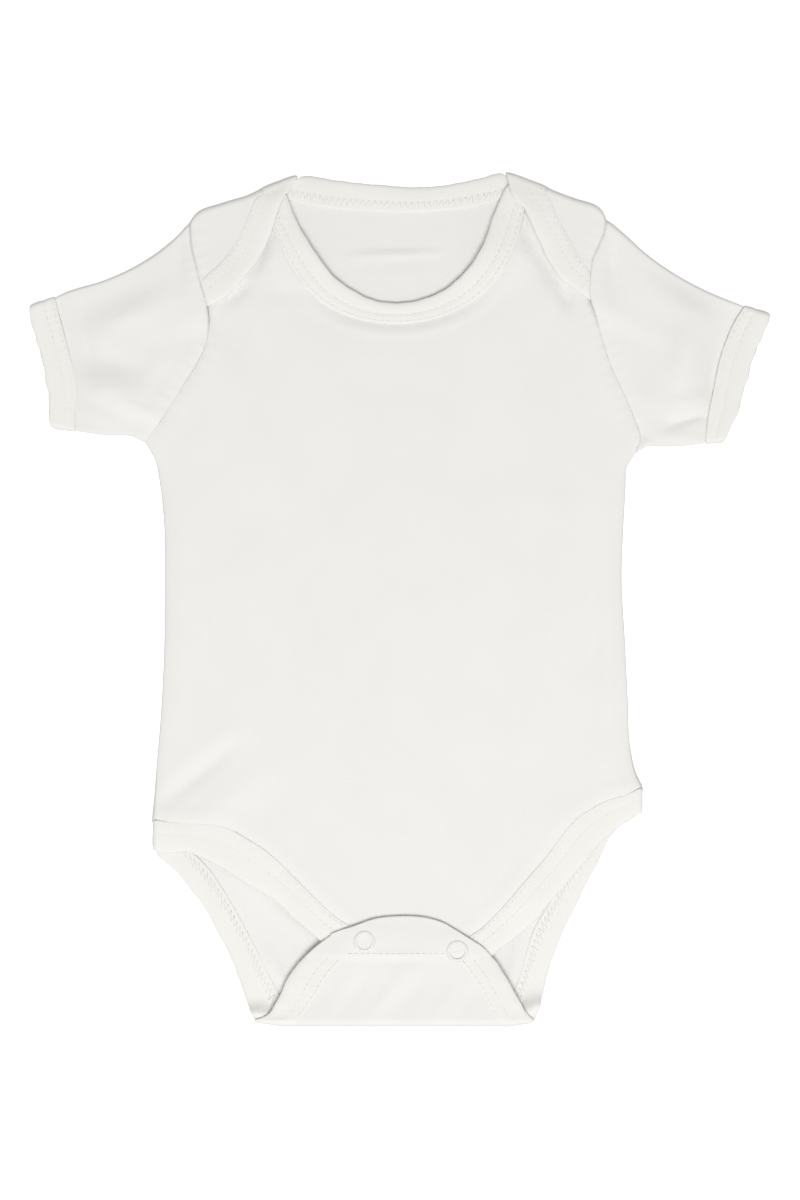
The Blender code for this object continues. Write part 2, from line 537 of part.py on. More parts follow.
def flat_stations(band, height, up):
    """A binding's stations on one layer of the garment."""
    seam = band[:, :2] + across(band) * SEAM / 2
    seam_z = height(seam) if callable(height) else height
    edge_z = height(band[:, 2:]) if callable(height) else height
    return list(zip(raised(seam, seam_z), raised(band[:, 2:], edge_z), [(0, 0, up)] * len(band)))


def fold_stations(row, outward, low, high):
    """A binding's stations round a fold."""
    seam = row[:2] + unit(row[2:] - row[:2]) * SEAM / 2
    points = np.array([seam, row[2:]])
    rows = arc(points, np.tile(outward, (2, 1)), low, high)
    return [(*pair, up) for pair, up in zip(rows, fold_ups(outward, len(rows)))]


def over_front(points):
    """Height of a binding on the front, never lower than clears the back's bindings."""
    return np.maximum(FRONT_Z, front_z(points))


def neck_front_binding():
    return flat_stations(NECK_F, over_front, -1)


def neck_back_binding():
    """The back neck's binding and its run on over both shoulders, along the laps."""
    left = fold_stations(LAP_L[0], SHOULDER_OUT_L, BACK_BINDING_Z, LAP_Z)[::-1]
    right = fold_stations(LAP_R[0], SHOULDER_OUT_R, BACK_BINDING_Z, LAP_Z)
    return [
        *flat_stations(LAP_L, LAP_Z, -1)[::-1],
        *left,
        *flat_stations(NECK_B, BACK_BINDING_Z, 1),
        *right,
        *flat_stations(LAP_R, LAP_Z, -1),
    ]


def leg_binding(bands, side):
    """A leg's binding: along the front, round the hip, down the back, round the crotch, up the flap."""
    front, back, flap = bands
    return [
        *flat_stations(front, over_front, -1)[::-1],
        *fold_stations(back[0], side, BACK_BINDING_Z, FRONT_Z)[::-1],
        *flat_stations(back, BACK_BINDING_Z, 1),
        *fold_stations(back[-1], DOWN, BACK_BINDING_Z, FLAP_Z),
        *flat_stations(flap, flap_z, -1),
    ]


def folded_strip(stations):
    """Closed sections of a folded binding: square at the seam, rounded at the free edge."""
    half = BINDING / 2
    rings = []
    for seam, edge, up in stations:
        seam, edge, up = (np.array(v, float) for v in (seam, edge, up))
        width = np.linalg.norm(edge - seam)
        out = (edge - seam) / width
        upper = [(0.0, half)] + [(width - back, share * half) for back, share in EDGE_ROUND]
        lower = [(x, -y) for x, y in upper[-2::-1]]
        rings.append(np.array([seam + out * x + up * y for x, y in upper + lower]))
    return rings


def skin(bm, rings, round_ring=False, round_path=False, capped=False):
    """Quads between neighbouring rings of points."""
    made = [[bm.verts.new((point - ORIGIN) * MM) for point in ring] for ring in rings]
    pairs = list(zip(made, made[1:])) + ([(made[-1], made[0])] if round_path else [])
    for first, second in pairs:
        count = len(first)
        for i in range(count if round_ring else count - 1):
            bm.faces.new((first[i], first[(i + 1) % count], second[(i + 1) % count], second[i]))
    if capped:
        bm.faces.new(made[0])
        bm.faces.new(made[-1])


def material(name, colour, roughness, metallic=0.0):
    made = bpy.data.materials.new(name)
    made.use_nodes = True
    shader = made.node_tree.nodes["Principled BSDF"]
    shader.inputs["Base Color"].default_value = (*colour, 1.0)
    shader.inputs["Roughness"].default_value = roughness
    shader.inputs["Metallic"].default_value = metallic
    return made


def piece(name, bm, colour, roughness, metallic=0.0):
    """A named object with its own material, its points welded and its faces turned the same way."""
    bmesh.ops.remove_doubles(bm, verts=bm.verts, dist=WELD * MM)
    bmesh.ops.recalc_face_normals(bm, faces=bm.faces)
    mesh = bpy.data.meshes.new(name)
    bm.to_mesh(mesh)
    bm.free()
    mesh.materials.append(material(name, colour, roughness, metallic))
    obj = bpy.data.objects.new(name, mesh)
    bodysuit.objects.link(obj)
    return obj


JERSEY, JERSEY_ROUGHNESS = (0.87, 0.85, 0.81), 0.9
RIB, RIB_ROUGHNESS = (0.88, 0.86, 0.82), 0.92
SNAP_PAINT, SNAP_ROUGHNESS, CAP_METAL, STUD_METAL = (0.86, 0.84, 0.80), 0.4, 0.2, 0.9


def cloth(name, sheets, **ends):
    """A wall of cloth, half of its thickness on each side of its middle surface."""
    bm = bmesh.new()
    for rows in sheets:
        skin(bm, rows, **ends)
    obj = piece(name, bm, JERSEY, JERSEY_ROUGHNESS)
    wall = obj.modifiers.new("wall", "SOLIDIFY")
    wall.thickness = CLOTH * MM
    wall.offset = 0.0


def binding(name, stations, closed=False):
    bm = bmesh.new()
    skin(bm, folded_strip(stations), round_ring=True, round_path=closed, capped=not closed)
    piece(name, bm, RIB, RIB_ROUGHNESS)


def snap(name, centre, bottom, profile, metallic):
    """A turned fastener: its profile of radius and height, spun round its own axis."""
    bm = bmesh.new()
    points = [bm.verts.new((x * MM, 0, z * MM)) for x, z in profile]
    for start, end in zip(points, points[1:] + points[:1]):
        bm.edges.new((start, end))
    turn = 2 * math.pi
    bmesh.ops.spin(
        bm, geom=bm.verts[:] + bm.edges[:], axis=(0, 0, 1), cent=(0, 0, 0), angle=turn, steps=SNAP_SIDES
    )
    obj = piece(name, bm, SNAP_PAINT, SNAP_ROUGHNESS, metallic)
    obj.location = (np.array([*centre, bottom]) - ORIGIN) * MM


for old in list(bpy.data.objects):
    bpy.data.objects.remove(old)
bodysuit = bpy.data.collections.new("baby_bodysuit")
bpy.context.scene.collection.children.link(bodysuit)

cloth("back_panel", back_panel())
cloth("front_panel", front_panel())
SLEEVES = (
    ("left", ARM_L, OUT_L, CUFF_LEFT, SLEEVE_UNDER_LEFT, SLEEVE_TOP_LEFT, LAP_ENDS_LEFT[1]),
    ("right", ARM_R, OUT_R, CUFF_RIGHT, SLEEVE_UNDER_RIGHT, SLEEVE_TOP_RIGHT, LAP_ENDS_RIGHT[1]),
)
for side, arm, outward, cuff_rows, under, top, lap_edge_y in SLEEVES:
    rings = sleeve(arm, outward, cuff_rows, under, top, lap_edge_y)
    cloth("sleeve_" + side, [rings], round_ring=True)
    binding("cuff_binding_" + side, cuff(cuff_rows), closed=True)
binding("neck_binding_front", neck_front_binding())
binding("neck_binding_back", neck_back_binding())
binding("leg_binding_left", leg_binding(LEG_L, LEFTWARD))
binding("leg_binding_right", leg_binding(LEG_R, RIGHTWARD))

CAP_PROFILE = (
    (SNAP_HOLE, 0.0), (SNAP_RADIUS, 0.0), (SNAP_RADIUS, CAP_SIDE * SNAP_HEIGHT),
    (SNAP_RADIUS - CAP_BEVEL, SNAP_HEIGHT), (SNAP_HOLE + CAP_LIP, SNAP_HEIGHT),
    (SNAP_HOLE, CAP_LIP_HEIGHT * SNAP_HEIGHT),
)
STUD_PROFILE = (
    (STUD_HOLE, 0.0), (STUD_RADIUS, 0.0), (STUD_RADIUS, STUD_HEIGHT), (STUD_HOLE, STUD_HEIGHT),
)
for side, centre in zip(("left", "right"), SNAP_CENTRES):
    top = SNAP_Z + CLOTH / 2 + SNAP_GAP
    bottom = SNAP_Z - CLOTH / 2 - SNAP_GAP - STUD_HEIGHT
    snap("snap_cap_" + side, centre, top, CAP_PROFILE, CAP_METAL)
    snap("snap_stud_" + side, centre, bottom, STUD_PROFILE, STUD_METAL)
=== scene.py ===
"""Short-sleeved baby bodysuit with lap shoulders and a snap crotch, laid flat with its front up."""

import math

import bmesh
import bpy
import numpy as np
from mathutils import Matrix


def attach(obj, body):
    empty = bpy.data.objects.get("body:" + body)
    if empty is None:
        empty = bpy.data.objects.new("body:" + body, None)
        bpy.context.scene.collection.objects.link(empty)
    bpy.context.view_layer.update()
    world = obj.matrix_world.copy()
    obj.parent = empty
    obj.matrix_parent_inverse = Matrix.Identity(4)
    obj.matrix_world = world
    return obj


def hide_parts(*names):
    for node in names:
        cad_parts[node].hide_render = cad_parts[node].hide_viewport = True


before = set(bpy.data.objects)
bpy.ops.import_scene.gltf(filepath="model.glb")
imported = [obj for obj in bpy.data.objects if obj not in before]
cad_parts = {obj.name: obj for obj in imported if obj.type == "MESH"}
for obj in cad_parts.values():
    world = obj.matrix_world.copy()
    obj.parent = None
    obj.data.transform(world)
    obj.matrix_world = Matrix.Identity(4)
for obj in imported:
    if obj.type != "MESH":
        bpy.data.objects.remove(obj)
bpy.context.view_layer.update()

# ----------------------------------------
# Front panel
# One piece of off-white interlock cotton, about 0.8 mm thick. It is sewn to the back along both
# sides and to the sleeves at the armholes, with its seams turned in, so it rolls down into them.

MM = 0.001
ORIGIN = np.array([0.03, 0.29, 0.0])  # centre of the garment's outline in the pattern tables
WALL = 0.8  # one layer of cotton
WELD = 0.004  # points closer than this are one
TUCK = 1.2  # how far a panel goes into its binding
FRONT_Z, SIDE_Z = 3.0, 1.5  # middle of the front layer, and of its side seams
SIDE_ROUND = 9.0  # how far from a side seam the front starts to roll down to it
SIDE_ROLL = ((0.55, 1.5), (0.45, 6))  # share and power of the slow and the sharp part of that roll
BELLY_RISE, BELLY_REACH = 0.7, (61.0, 93.0)  # in x and y
HIP_REACH, SHOULDER_REACH = 1.95, 3.0  # from a fold's outer edge to where the cloth lies flat
UNDERARM_REACH = 1.6
LAPS_Y, LAPS_SPAN, LAPS_PUSH = 152.0, 16.0, 1.8  # the laps push the front up beside the neck
THROAT_Y, THROAT_SPAN, THROAT_DROP = 125.0, 12.0, 0.6  # and it lies lower at the neck's bottom
NECK_REACH = 8.0  # how far from the neck's seam both fade out
NECK_SWELL, NECK_SWELL_SPAN = 0.35, 40.0  # beside the middle of the neck's seam the front is fuller
NECK_SWELL_AT, NECK_SWELL_WIDTH = 4.5, 2.4
SEAM_ROLLS = {  # groove depth, more at the laps, width; swelling height, place, width; gather pitch, depth
    "armhole": (0.42, 0.30, 1.1, 0.18, 5.0, 2.6, 5.2, 0.10),
    "binding": (0.35, 0.0, 1.3, 0.22, 4.2, 2.4, 5.6, 0.05),
}
GATHER_REACH = 6.0  # how far gathers run from a seam
GATHER_DRIFT, DRIFT_PITCHES = 1.7, 2.3  # how unevenly they follow each other
FOLD_END = 0.45  # share of its height that a fold still has at its ends
LAP_GROOVE_START, LAP_GROOVE_BLEND = 48.0, 14.0  # along an armhole, from the underarm

ARMHOLE_LEFT = [  # x, y
    (-111.8, 69.1), (-109.1, 72.6), (-102.1, 83.2), (-95.9, 93.3), (-90.2, 102.1), (-86.2, 109.6),
    (-84.5, 115.3), (-84, 122.8), (-84.9, 129.8), (-87.1, 138.2), (-89.3, 146.5), (-91.5, 154.9),
    (-92.4, 166.3),
]
ARMHOLE_RIGHT = [  # x, y
    (103, 64.2), (105.6, 71.3), (103.4, 78.3), (98.6, 89.8), (92.8, 102.1), (88, 116.6), (85.4, 126.3),
    (83.6, 131.6), (83.4, 143.9), (84.5, 150.5), (87.1, 155.8), (89.3, 161), (90.6, 167.6),
]
SIDE_LEFT = [  # x, y
    (-108.9, -96.6), (-107.8, -85.8), (-106.5, -70.4), (-104.7, -48.4), (-103.4, -22), (-103, 8.8),
    (-103.4, 33), (-105.2, 50.6), (-107.8, 62.5), (-111.8, 69.1),
]
SIDE_RIGHT = [  # x, y
    (106.9, -82.7), (103.8, -76.6), (101.2, -66), (99.9, -44), (98.6, -17.6), (97.2, 8.8), (98.1, 35.2),
    (99, 50.2), (99.4, 58.1), (103, 64.2),
]
NECK_FRONT = [  # seam x, seam y, edge x, edge y
    (-59.8, 173.4, -50.2, 178.6), (-57.6, 166.8, -47.5, 171.6), (-53.7, 158.4, -44, 163.7),
    (-50.2, 150.5, -40, 157.1), (-46.2, 143.9, -36.1, 150.9), (-41.4, 137.3, -31.7, 144.8),
    (-34.8, 131.1, -26.4, 139.9), (-26.4, 126.3, -19.4, 135.1), (-15.4, 122.8, -11, 131.6),
    (-0.9, 121.4, -0.4, 130.5), (11.9, 122.8, 9.7, 132), (23.8, 126.7, 18.9, 136),
    (33.9, 132.4, 26, 141.2), (42.2, 141.2, 32.6, 149.2), (48, 150.5, 37.4, 158),
    (51.5, 158.4, 40, 165.9), (54.1, 168.5, 43.1, 173.8), (55.9, 176.4, 46.2, 180.8),
    (58.5, 180.0, 49.5, 184.0),
]
LEG_FRONT_LEFT = [  # seam x, seam y, edge x, edge y
    (-108.9, -96.6, -109.1, -110), (-102.1, -97.2, -102.1, -111.3), (-94.6, -97.9, -94.6, -110.4),
    (-85.8, -98.1, -88.9, -112.2), (-75.2, -100.3, -82.7, -115.3), (-67.3, -104.7, -75.7, -119.2),
    (-59.4, -109.6, -68.2, -124.1), (-51.5, -116.6, -60.7, -128), (-43.6, -124.5, -52.8, -133.8),
    (-35.6, -132.4, -44.9, -141.2), (-29.5, -138.2, -38.3, -147), (-22.4, -143, -30.8, -153.1),
    (-15.8, -148.7, -25.1, -158.4), (-9.7, -160.2, -21.1, -161.9),
]
LEG_FRONT_RIGHT = [  # seam x, seam y, edge x, edge y
    (106.9, -82.7, 106.9, -93.7), (99.4, -85.4, 101.2, -95.9), (91.5, -87.6, 95.5, -99.9),
    (84.5, -91.1, 89.8, -104.7), (76.1, -97.2, 84.5, -110.9), (70, -104.7, 79.2, -117.5),
    (63.8, -113.1, 73.5, -124.1), (55.4, -122.8, 66.4, -132.4), (48.4, -131.1, 58.5, -141.2),
    (41.8, -138.2, 50.6, -148.3), (36.1, -143.9, 44, -153.1), (29.9, -148.3, 38.3, -158),
    (21.6, -160.2, 33, -161.9),
]
FRONT_FOLDS = [  # x, y, x, y, width, height: soft troughs are negative and ridges positive
    (-104, -89, -74, -64, 3.8, -1.40), (-100, -77, -70, -55, 6.5, 0.50), (-92, -100, -58, -74, 7.5, 0.95),
    (84, 34, 83, -84, 4.5, -0.75), (75, 20, 74, -74, 6.0, 0.35), (92, 40, 91, -70, 3.5, 0.40),
    (78, -84, 62, -108, 7.0, 0.40),
    (-57, 162, -64, 145, 2.8, -1.90), (-68, 138, -77, 130, 3.0, -1.30),  # under the left lap
    (-80, 131, -71, 106, 6.0, -1.25), (-57, 136, -42, 134, 4.0, -0.60), (-67, 140, -60, 116, 4.5, 0.55),
    (-88, 104, -84, 70, 6.0, 0.35), (-76, 92, -80, 62, 7.0, -0.30),
    (54.5, 172, 55.5, 156, 2.4, -1.80), (58, 158, 72, 135, 4.0, -1.70), (72, 136, 75, 128, 3.0, -1.30),
    (66, 140, 60, 118, 6.0, 0.45), (76, 118, 92, 84, 7.0, 0.30),
    (-97, -30, -94, 40, 8.0, 0.20), (20, 60, 62, 50, 12.0, -0.35), (44, 44, 80, 40, 9.0, 0.35),
    (-40, 20, -70, 44, 14.0, -0.25), (-30, -90, 16, -118, 12.0, 0.35), (92, 46, 78, 60, 6.0, 0.30),
    (-92, 60, -80, 78, 6.0, 0.30), (-20, 96, 30, 92, 9.0, -0.25), (-60, -20, -30, -60, 16.0, 0.25),
]
ARM_STEPS, SIDE_STEPS, LEG_STEPS, NECK_FRONT_STEPS, STRAP_STEPS, HIP_ROWS = 72, 112, 84, 66, 24, 16
STRAP_SHARE, STRAP_SPREAD = 0.22, 1.4  # of the front's columns, and how they crowd at the armhole
FINE_POINTS = 400  # along a whole seam, to measure it


def spline(rows, count):
    """count + 1 rows evenly spaced along a smooth curve through the given ones."""
    rows = np.array(rows, float)
    step = np.linalg.norm(np.diff(rows[:, :2], axis=0), axis=1)[:, None]
    slope = np.diff(rows, axis=0) / step
    middle = (step[:-1] * slope[1:] + step[1:] * slope[:-1]) / (step[:-1] + step[1:])
    tangent = np.vstack([slope[:1], middle, slope[-1:]])
    fine = [rows[:1]]
    for i, length in enumerate(step[:, 0]):
        t = np.linspace(0.1, 1.0, 10)[:, None]
        fine.append(
            (2 * t**3 - 3 * t**2 + 1) * rows[i]
            + (t**3 - 2 * t**2 + t) * length * tangent[i]
            + (3 * t**2 - 2 * t**3) * rows[i + 1]
            + (t**3 - t**2) * length * tangent[i + 1]
        )
    return resample(np.vstack(fine), np.linspace(0.0, 1.0, count + 1))


def lengths(line, columns=2):
    """Distance walked along a line's points, in plan unless all three columns are wanted."""
    steps = np.linalg.norm(np.diff(line[:, :columns], axis=0), axis=1)
    return np.concatenate([[0.0], np.cumsum(steps)])


def placed(rows, walked, at):
    """Rows read off at the given distances along them."""
    return np.column_stack([np.interp(at, walked, column) for column in rows.T])


def resample(line, shares, columns=2):
    """A line's points at shares of its length."""
    walked = lengths(line, columns)
    return placed(line, walked, np.array(shares) * walked[-1])


def with_ends(rows, first, last, count):
    """A curve's points with a short step of the given length at each end, for a fold."""
    fine = spline(rows, FINE_POINTS)
    total = lengths(fine)[-1]
    inner = np.linspace(first / total, 1.0 - last / total, count - 1)
    return resample(fine, np.concatenate([[0.0], inner, [1.0]]))


def unit(vectors):
    """Vectors of length 1."""
    return vectors / np.linalg.norm(vectors, axis=-1, keepdims=True)


def patch(bottom, top, left, right):
    """Rows of points filled in between four edges that share their corners."""
    u = (lengths(bottom) / lengths(bottom)[-1] + lengths(top) / lengths(top)[-1]) / 2
    v = (lengths(left) / lengths(left)[-1] + lengths(right) / lengths(right)[-1]) / 2
    u, v = u[None, :, None], v[:, None, None]
    from_rows = (1 - v) * bottom[None] + v * top[None]
    from_sides = (1 - u) * left[:, None] + u * right[:, None]
    low, high = ((1 - u) * row[0] + u * row[-1] for row in (bottom, top))
    return from_rows + from_sides - (1 - v) * low - v * high


def distance(points, line):
    """Distance in plan from each point to a line through the given rows, and how far along it."""
    best, along, walked = np.full(points.shape[:-1], np.inf), 0.0, 0.0
    for start, end in zip(line[:-1], line[1:]):
        run = end - start
        share = np.clip(((points - start) @ run) / (run @ run), 0.0, 1.0)
        away = np.linalg.norm(points - start - share[..., None] * run, axis=-1)
        along = np.where(away < best, walked + share * np.linalg.norm(run), along)
        best = np.minimum(best, away)
        walked += np.linalg.norm(run)
    return best, along


def hump(away, width):
    """1 at no distance, fading out over a width to both sides."""
    return np.exp(-((away / width) ** 2))


def eased(share):
    """A share from 0 to 1 that starts and ends softly."""
    return share * share * (3 - 2 * share)


def folds(points, table):
    """Height of soft folds at each plan point. Each one is lower at its ends."""
    height = np.zeros(points.shape[:-1])
    for *ends, width, rise in table:
        line = np.array(ends).reshape(2, 2)
        away, along = distance(points, line)
        share = along / np.linalg.norm(line[1] - line[0])
        height += rise * hump(away, width) * (FOLD_END + (1 - FOLD_END) * np.sin(math.pi * share))
    return height


def seam_roll(points, line, kind):
    """How a layer dips into a seam and swells beside it, with gathers that fade out away from it."""
    depth, lap_depth, groove, swell, swell_at, swell_width, pitch, ripple = SEAM_ROLLS[kind]
    away, along = distance(points, line)
    depth = depth + lap_depth * np.clip((along - LAP_GROOVE_START) / LAP_GROOVE_BLEND, 0.0, 1.0)
    drift = GATHER_DRIFT * np.sin(along / (DRIFT_PITCHES * pitch))
    wave = np.sin(2 * math.pi * along / pitch + drift)
    height = swell * hump(away - swell_at, swell_width) - depth * hump(away, groove)
    return height + ripple * wave * hump(away, GATHER_REACH)


SIDE_L, SIDE_R = spline(SIDE_LEFT, SIDE_STEPS), spline(SIDE_RIGHT, SIDE_STEPS)
ARM_L, ARM_R = (
    with_ends(rows, UNDERARM_REACH, SHOULDER_REACH, ARM_STEPS) for rows in (ARMHOLE_LEFT, ARMHOLE_RIGHT)
)


def armhole_roll(points):
    """How a layer rolls down into both armholes' seams."""
    return seam_roll(points, ARM_L[::4], "armhole") + seam_roll(points, ARM_R[::4], "armhole")


def nearest(points, *lines):
    """Distance in plan from each point to the nearest of some lines."""
    return np.min([distance(points, line)[0] for line in lines], axis=0)


def front_z(points):
    """Middle of the front layer: raised at the belly, rolled down at the seams, softly folded."""
    x, y = points[..., 0], points[..., 1]
    height = FRONT_Z + BELLY_RISE * hump(x, BELLY_REACH[0]) * hump(y, BELLY_REACH[1])
    height += folds(points, FRONT_FOLDS) + armhole_roll(points)
    for line in (NECK_F, LEG_FRONT_L, LEG_FRONT_R):
        height += seam_roll(points, line[::3, :2], "binding")
    neck = nearest(points, NECK_F[::3, :2])
    height += LAPS_PUSH * hump(y - LAPS_Y, LAPS_SPAN) * hump(neck, NECK_REACH)
    height -= THROAT_DROP * hump(y - THROAT_Y, THROAT_SPAN) * hump(neck, NECK_REACH)
    swell = NECK_SWELL * hump(neck - NECK_SWELL_AT, NECK_SWELL_WIDTH)
    height += swell * np.exp(-((x / NECK_SWELL_SPAN) ** 4))
    edge = np.clip(1.0 - nearest(points, SIDE_L[::4], SIDE_R[::4]) / SIDE_ROUND, 0.0, 1.0)
    return SIDE_Z + (height - SIDE_Z) * (1.0 - sum(share * edge**power for share, power in SIDE_ROLL))


def raised(plan, height):
    """Plan points lifted to a height, which is one number or one for each point."""
    return np.concatenate([plan, np.broadcast_to(height, plan.shape[:-1])[..., None]], axis=-1)


def row_between(start, end, shares):
    """Points at shares of the straight way between two."""
    return start + (end - start) * np.array(shares)[:, None]


def across(band):
    """Unit vectors from a binding's seam to its free edge."""
    return unit(band[:, 2:] - band[:, :2])


def beside(band):
    """The edge of the panel that goes into a binding."""
    return band[:, :2] + across(band) * TUCK


def drawn_in(rows, outward, reach, end=0):
    """Binding rows with one end moved from a fold's outer edge to where the cloth lies flat."""
    rows = np.array(rows, float)
    rows[end] -= np.resize(outward, 4) * reach
    return rows


LEFTWARD, RIGHTWARD, DOWN = np.array([-1.0, 0.0]), np.array([1.0, 0.0]), np.array([0.0, -1.0])
NECK_F = spline(NECK_FRONT, 2 * STRAP_STEPS + NECK_FRONT_STEPS)
LEG_FRONT_L = spline(drawn_in(LEG_FRONT_LEFT, LEFTWARD, HIP_REACH), LEG_STEPS)
LEG_FRONT_R = spline(drawn_in(LEG_FRONT_RIGHT, RIGHTWARD, HIP_REACH), LEG_STEPS)


def side_line(side, arm, band):
    """A panel's side edge from the hip corner, inside the leg's binding, to the armhole."""
    line = side.copy()
    line[0] += across(band)[0] * TUCK
    line[-1] = arm[0]
    return line


def lower_blocks(left_band, right_band, shares, hip_columns):
    """A panel between its leg bindings: the crotch, the hips, and the body up to the underarms."""
    left_side = side_line(SIDE_L, ARM_L, left_band)
    right_side = side_line(SIDE_R, ARM_R, right_band)
    left, right = beside(left_band), beside(right_band)
    even = np.linspace(0.0, 1.0, len(shares) - 2 * hip_columns)
    end = row_between(left[-1], right[-1], even)
    turn = hip_columns - 1
    waist = row_between(left[turn], right[turn], even)
    crotch = patch(end, waist, left[turn:][::-1], right[turn:][::-1])
    hem = np.vstack([left_side[:1], left[:turn], waist, right[:turn][::-1], right_side[:1]])
    line = row_between(left_side[HIP_ROWS], right_side[HIP_ROWS], shares)
    hips = patch(hem, line, left_side[: HIP_ROWS + 1], right_side[: HIP_ROWS + 1])
    under = row_between(left_side[-1], right_side[-1], shares)
    return [crotch, hips, patch(line, under, left_side[HIP_ROWS:], right_side[HIP_ROWS:])]


def lay(bm, rows, flat=None):
    """A grid of cloth laid on rows of points in millimetres. Its UV map is its place on the cloth."""
    rows = np.asarray(rows, float)
    down, wide = rows.shape[:2]
    made = bmesh.ops.create_grid(bm, x_segments=wide - 1, y_segments=down - 1, size=1.0)
    place = {}
    for vert in made["verts"]:
        column = round((vert.co.x + 1) / 2 * (wide - 1))
        row = round((vert.co.y + 1) / 2 * (down - 1))
        place[vert] = (row, column)
        vert.co = (rows[row, column] - ORIGIN) * MM
    uv = bm.loops.layers.uv.verify()
    flat = rows[..., :2] if flat is None else flat
    for vert, at in place.items():
        for loop in vert.link_loops:
            loop[uv].uv = flat[at] * MM


def fill(tree, node, sockets):
    """Sets a node's sockets, or links those that are given another node's output."""
    for socket, value in sockets.items():
        if isinstance(value, bpy.types.NodeSocket):
            tree.links.new(value, node.inputs[socket])
        else:
            node.inputs[socket].default_value = value


def add(tree, kind, sockets, **settings):
    """A new node with its settings and sockets: its first output, or a mix's result."""
    node = tree.nodes.new(kind)
    for setting, value in settings.items():
        setattr(node, setting, value)
    fill(tree, node, sockets)
    return node.outputs["Result"] if kind == "ShaderNodeMix" else node.outputs[0]


def grain(tree, scale, detail):
    """Uneven grey that stays with the piece."""
    place = tree.nodes.new("ShaderNodeTexCoord").outputs["Object"]
    return add(tree, "ShaderNodeTexNoise", {"Vector": place, "Scale": scale, "Detail": detail})


def uneven(tree, factor, dark, light):
    """A colour between two."""
    colours = {"A": (*dark, 1.0), "B": (*light, 1.0), "Factor": factor}
    return add(tree, "ShaderNodeMix", colours, data_type="RGBA")


def new_material(name):
    """A material and its nodes."""
    made = bpy.data.materials.new(name)
    made.use_nodes = True
    return made, made.node_tree


YARN_SCALE, WEAR_SCALE = 900.0, 38.0
RIB_HEIGHT, LOOP_HEIGHT, YARN_HEIGHT, WEAR_HEIGHT = 0.6, 0.4, 1.4, 2.0  # shares of the knit's depth


def cotton(name, colour, shade, wale, course, depth):
    """Knitted cotton: columns of small V stitches, uneven yarn, and slightly uneven off-white."""
    made, tree = new_material(name)

    def maths(operation, first, second=0.0):
        """One step of arithmetic."""
        return add(tree, "ShaderNodeMath", {0: first, 1: second}, operation=operation)

    split = tree.nodes.new("ShaderNodeSeparateXYZ")
    fill(tree, split, {0: add(tree, "ShaderNodeUVMap", {}, uv_map="cloth")})
    column = maths("MULTIPLY", split.outputs[0], 1.0 / (wale * MM))
    row = maths("MULTIPLY", split.outputs[1], 1.0 / (course * MM))
    slant = maths("PINGPONG", column, 0.5)
    rib = maths("SINE", maths("MULTIPLY", slant, 2 * math.pi))
    loop = maths("SINE", maths("MULTIPLY", maths("ADD", row, slant), 2 * math.pi))
    yarn, wear = grain(tree, YARN_SCALE, 3.0), grain(tree, WEAR_SCALE, 4.0)
    height = maths("ADD", maths("MULTIPLY", rib, RIB_HEIGHT), maths("MULTIPLY", loop, LOOP_HEIGHT))
    height = maths("ADD", height, maths("MULTIPLY", yarn, YARN_HEIGHT))
    height = maths("ADD", height, maths("MULTIPLY", wear, WEAR_HEIGHT))
    bump = {"Strength": 0.5, "Distance": depth * MM, "Height": height}
    patches = add(tree, "ShaderNodeMapRange", {"Value": wear, "From Min": 0.3, "From Max": 0.65})
    fill(tree, tree.nodes["Principled BSDF"], {
        "Base Color": uneven(tree, patches, shade, colour),
        "Roughness": add(tree, "ShaderNodeMapRange", {"Value": yarn, "To Min": 0.82, "To Max": 0.96}),
        "Normal": add(tree, "ShaderNodeBump", bump),
        "Sheen Weight": 0.18, "Sheen Roughness": 0.45, "Specular IOR Level": 0.25,
    })
    return made


INTERLOCK = cotton("interlock_cotton", (0.850, 0.841, 0.820), (0.836, 0.826, 0.802), 0.9, 0.75, 0.05)


def put(name, data):
    """A new object in the scene."""
    made = bpy.data.objects.new(name, data)
    bpy.context.scene.collection.objects.link(made)
    return made


def finish_piece(name, bm, material, wall=None, nodes=()):
    """A named piece whose grids are welded, with its wall, its material and the body it rides on."""
    bmesh.ops.remove_doubles(bm, verts=bm.verts, dist=WELD * MM)
    bmesh.ops.recalc_face_normals(bm, faces=bm.faces)
    mesh = bpy.data.meshes.new(name)
    bm.to_mesh(mesh)
    bm.free()
    mesh.shade_smooth()
    if mesh.uv_layers:
        mesh.uv_layers[0].name = "cloth"
    mesh.materials.append(material)
    piece = put(name, mesh)
    if wall:
        shell = piece.modifiers.new("wall", "SOLIDIFY")
        shell.thickness, shell.offset = wall * MM, 0.0
    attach(piece, "root")
    if nodes:
        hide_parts(*nodes)
    return piece


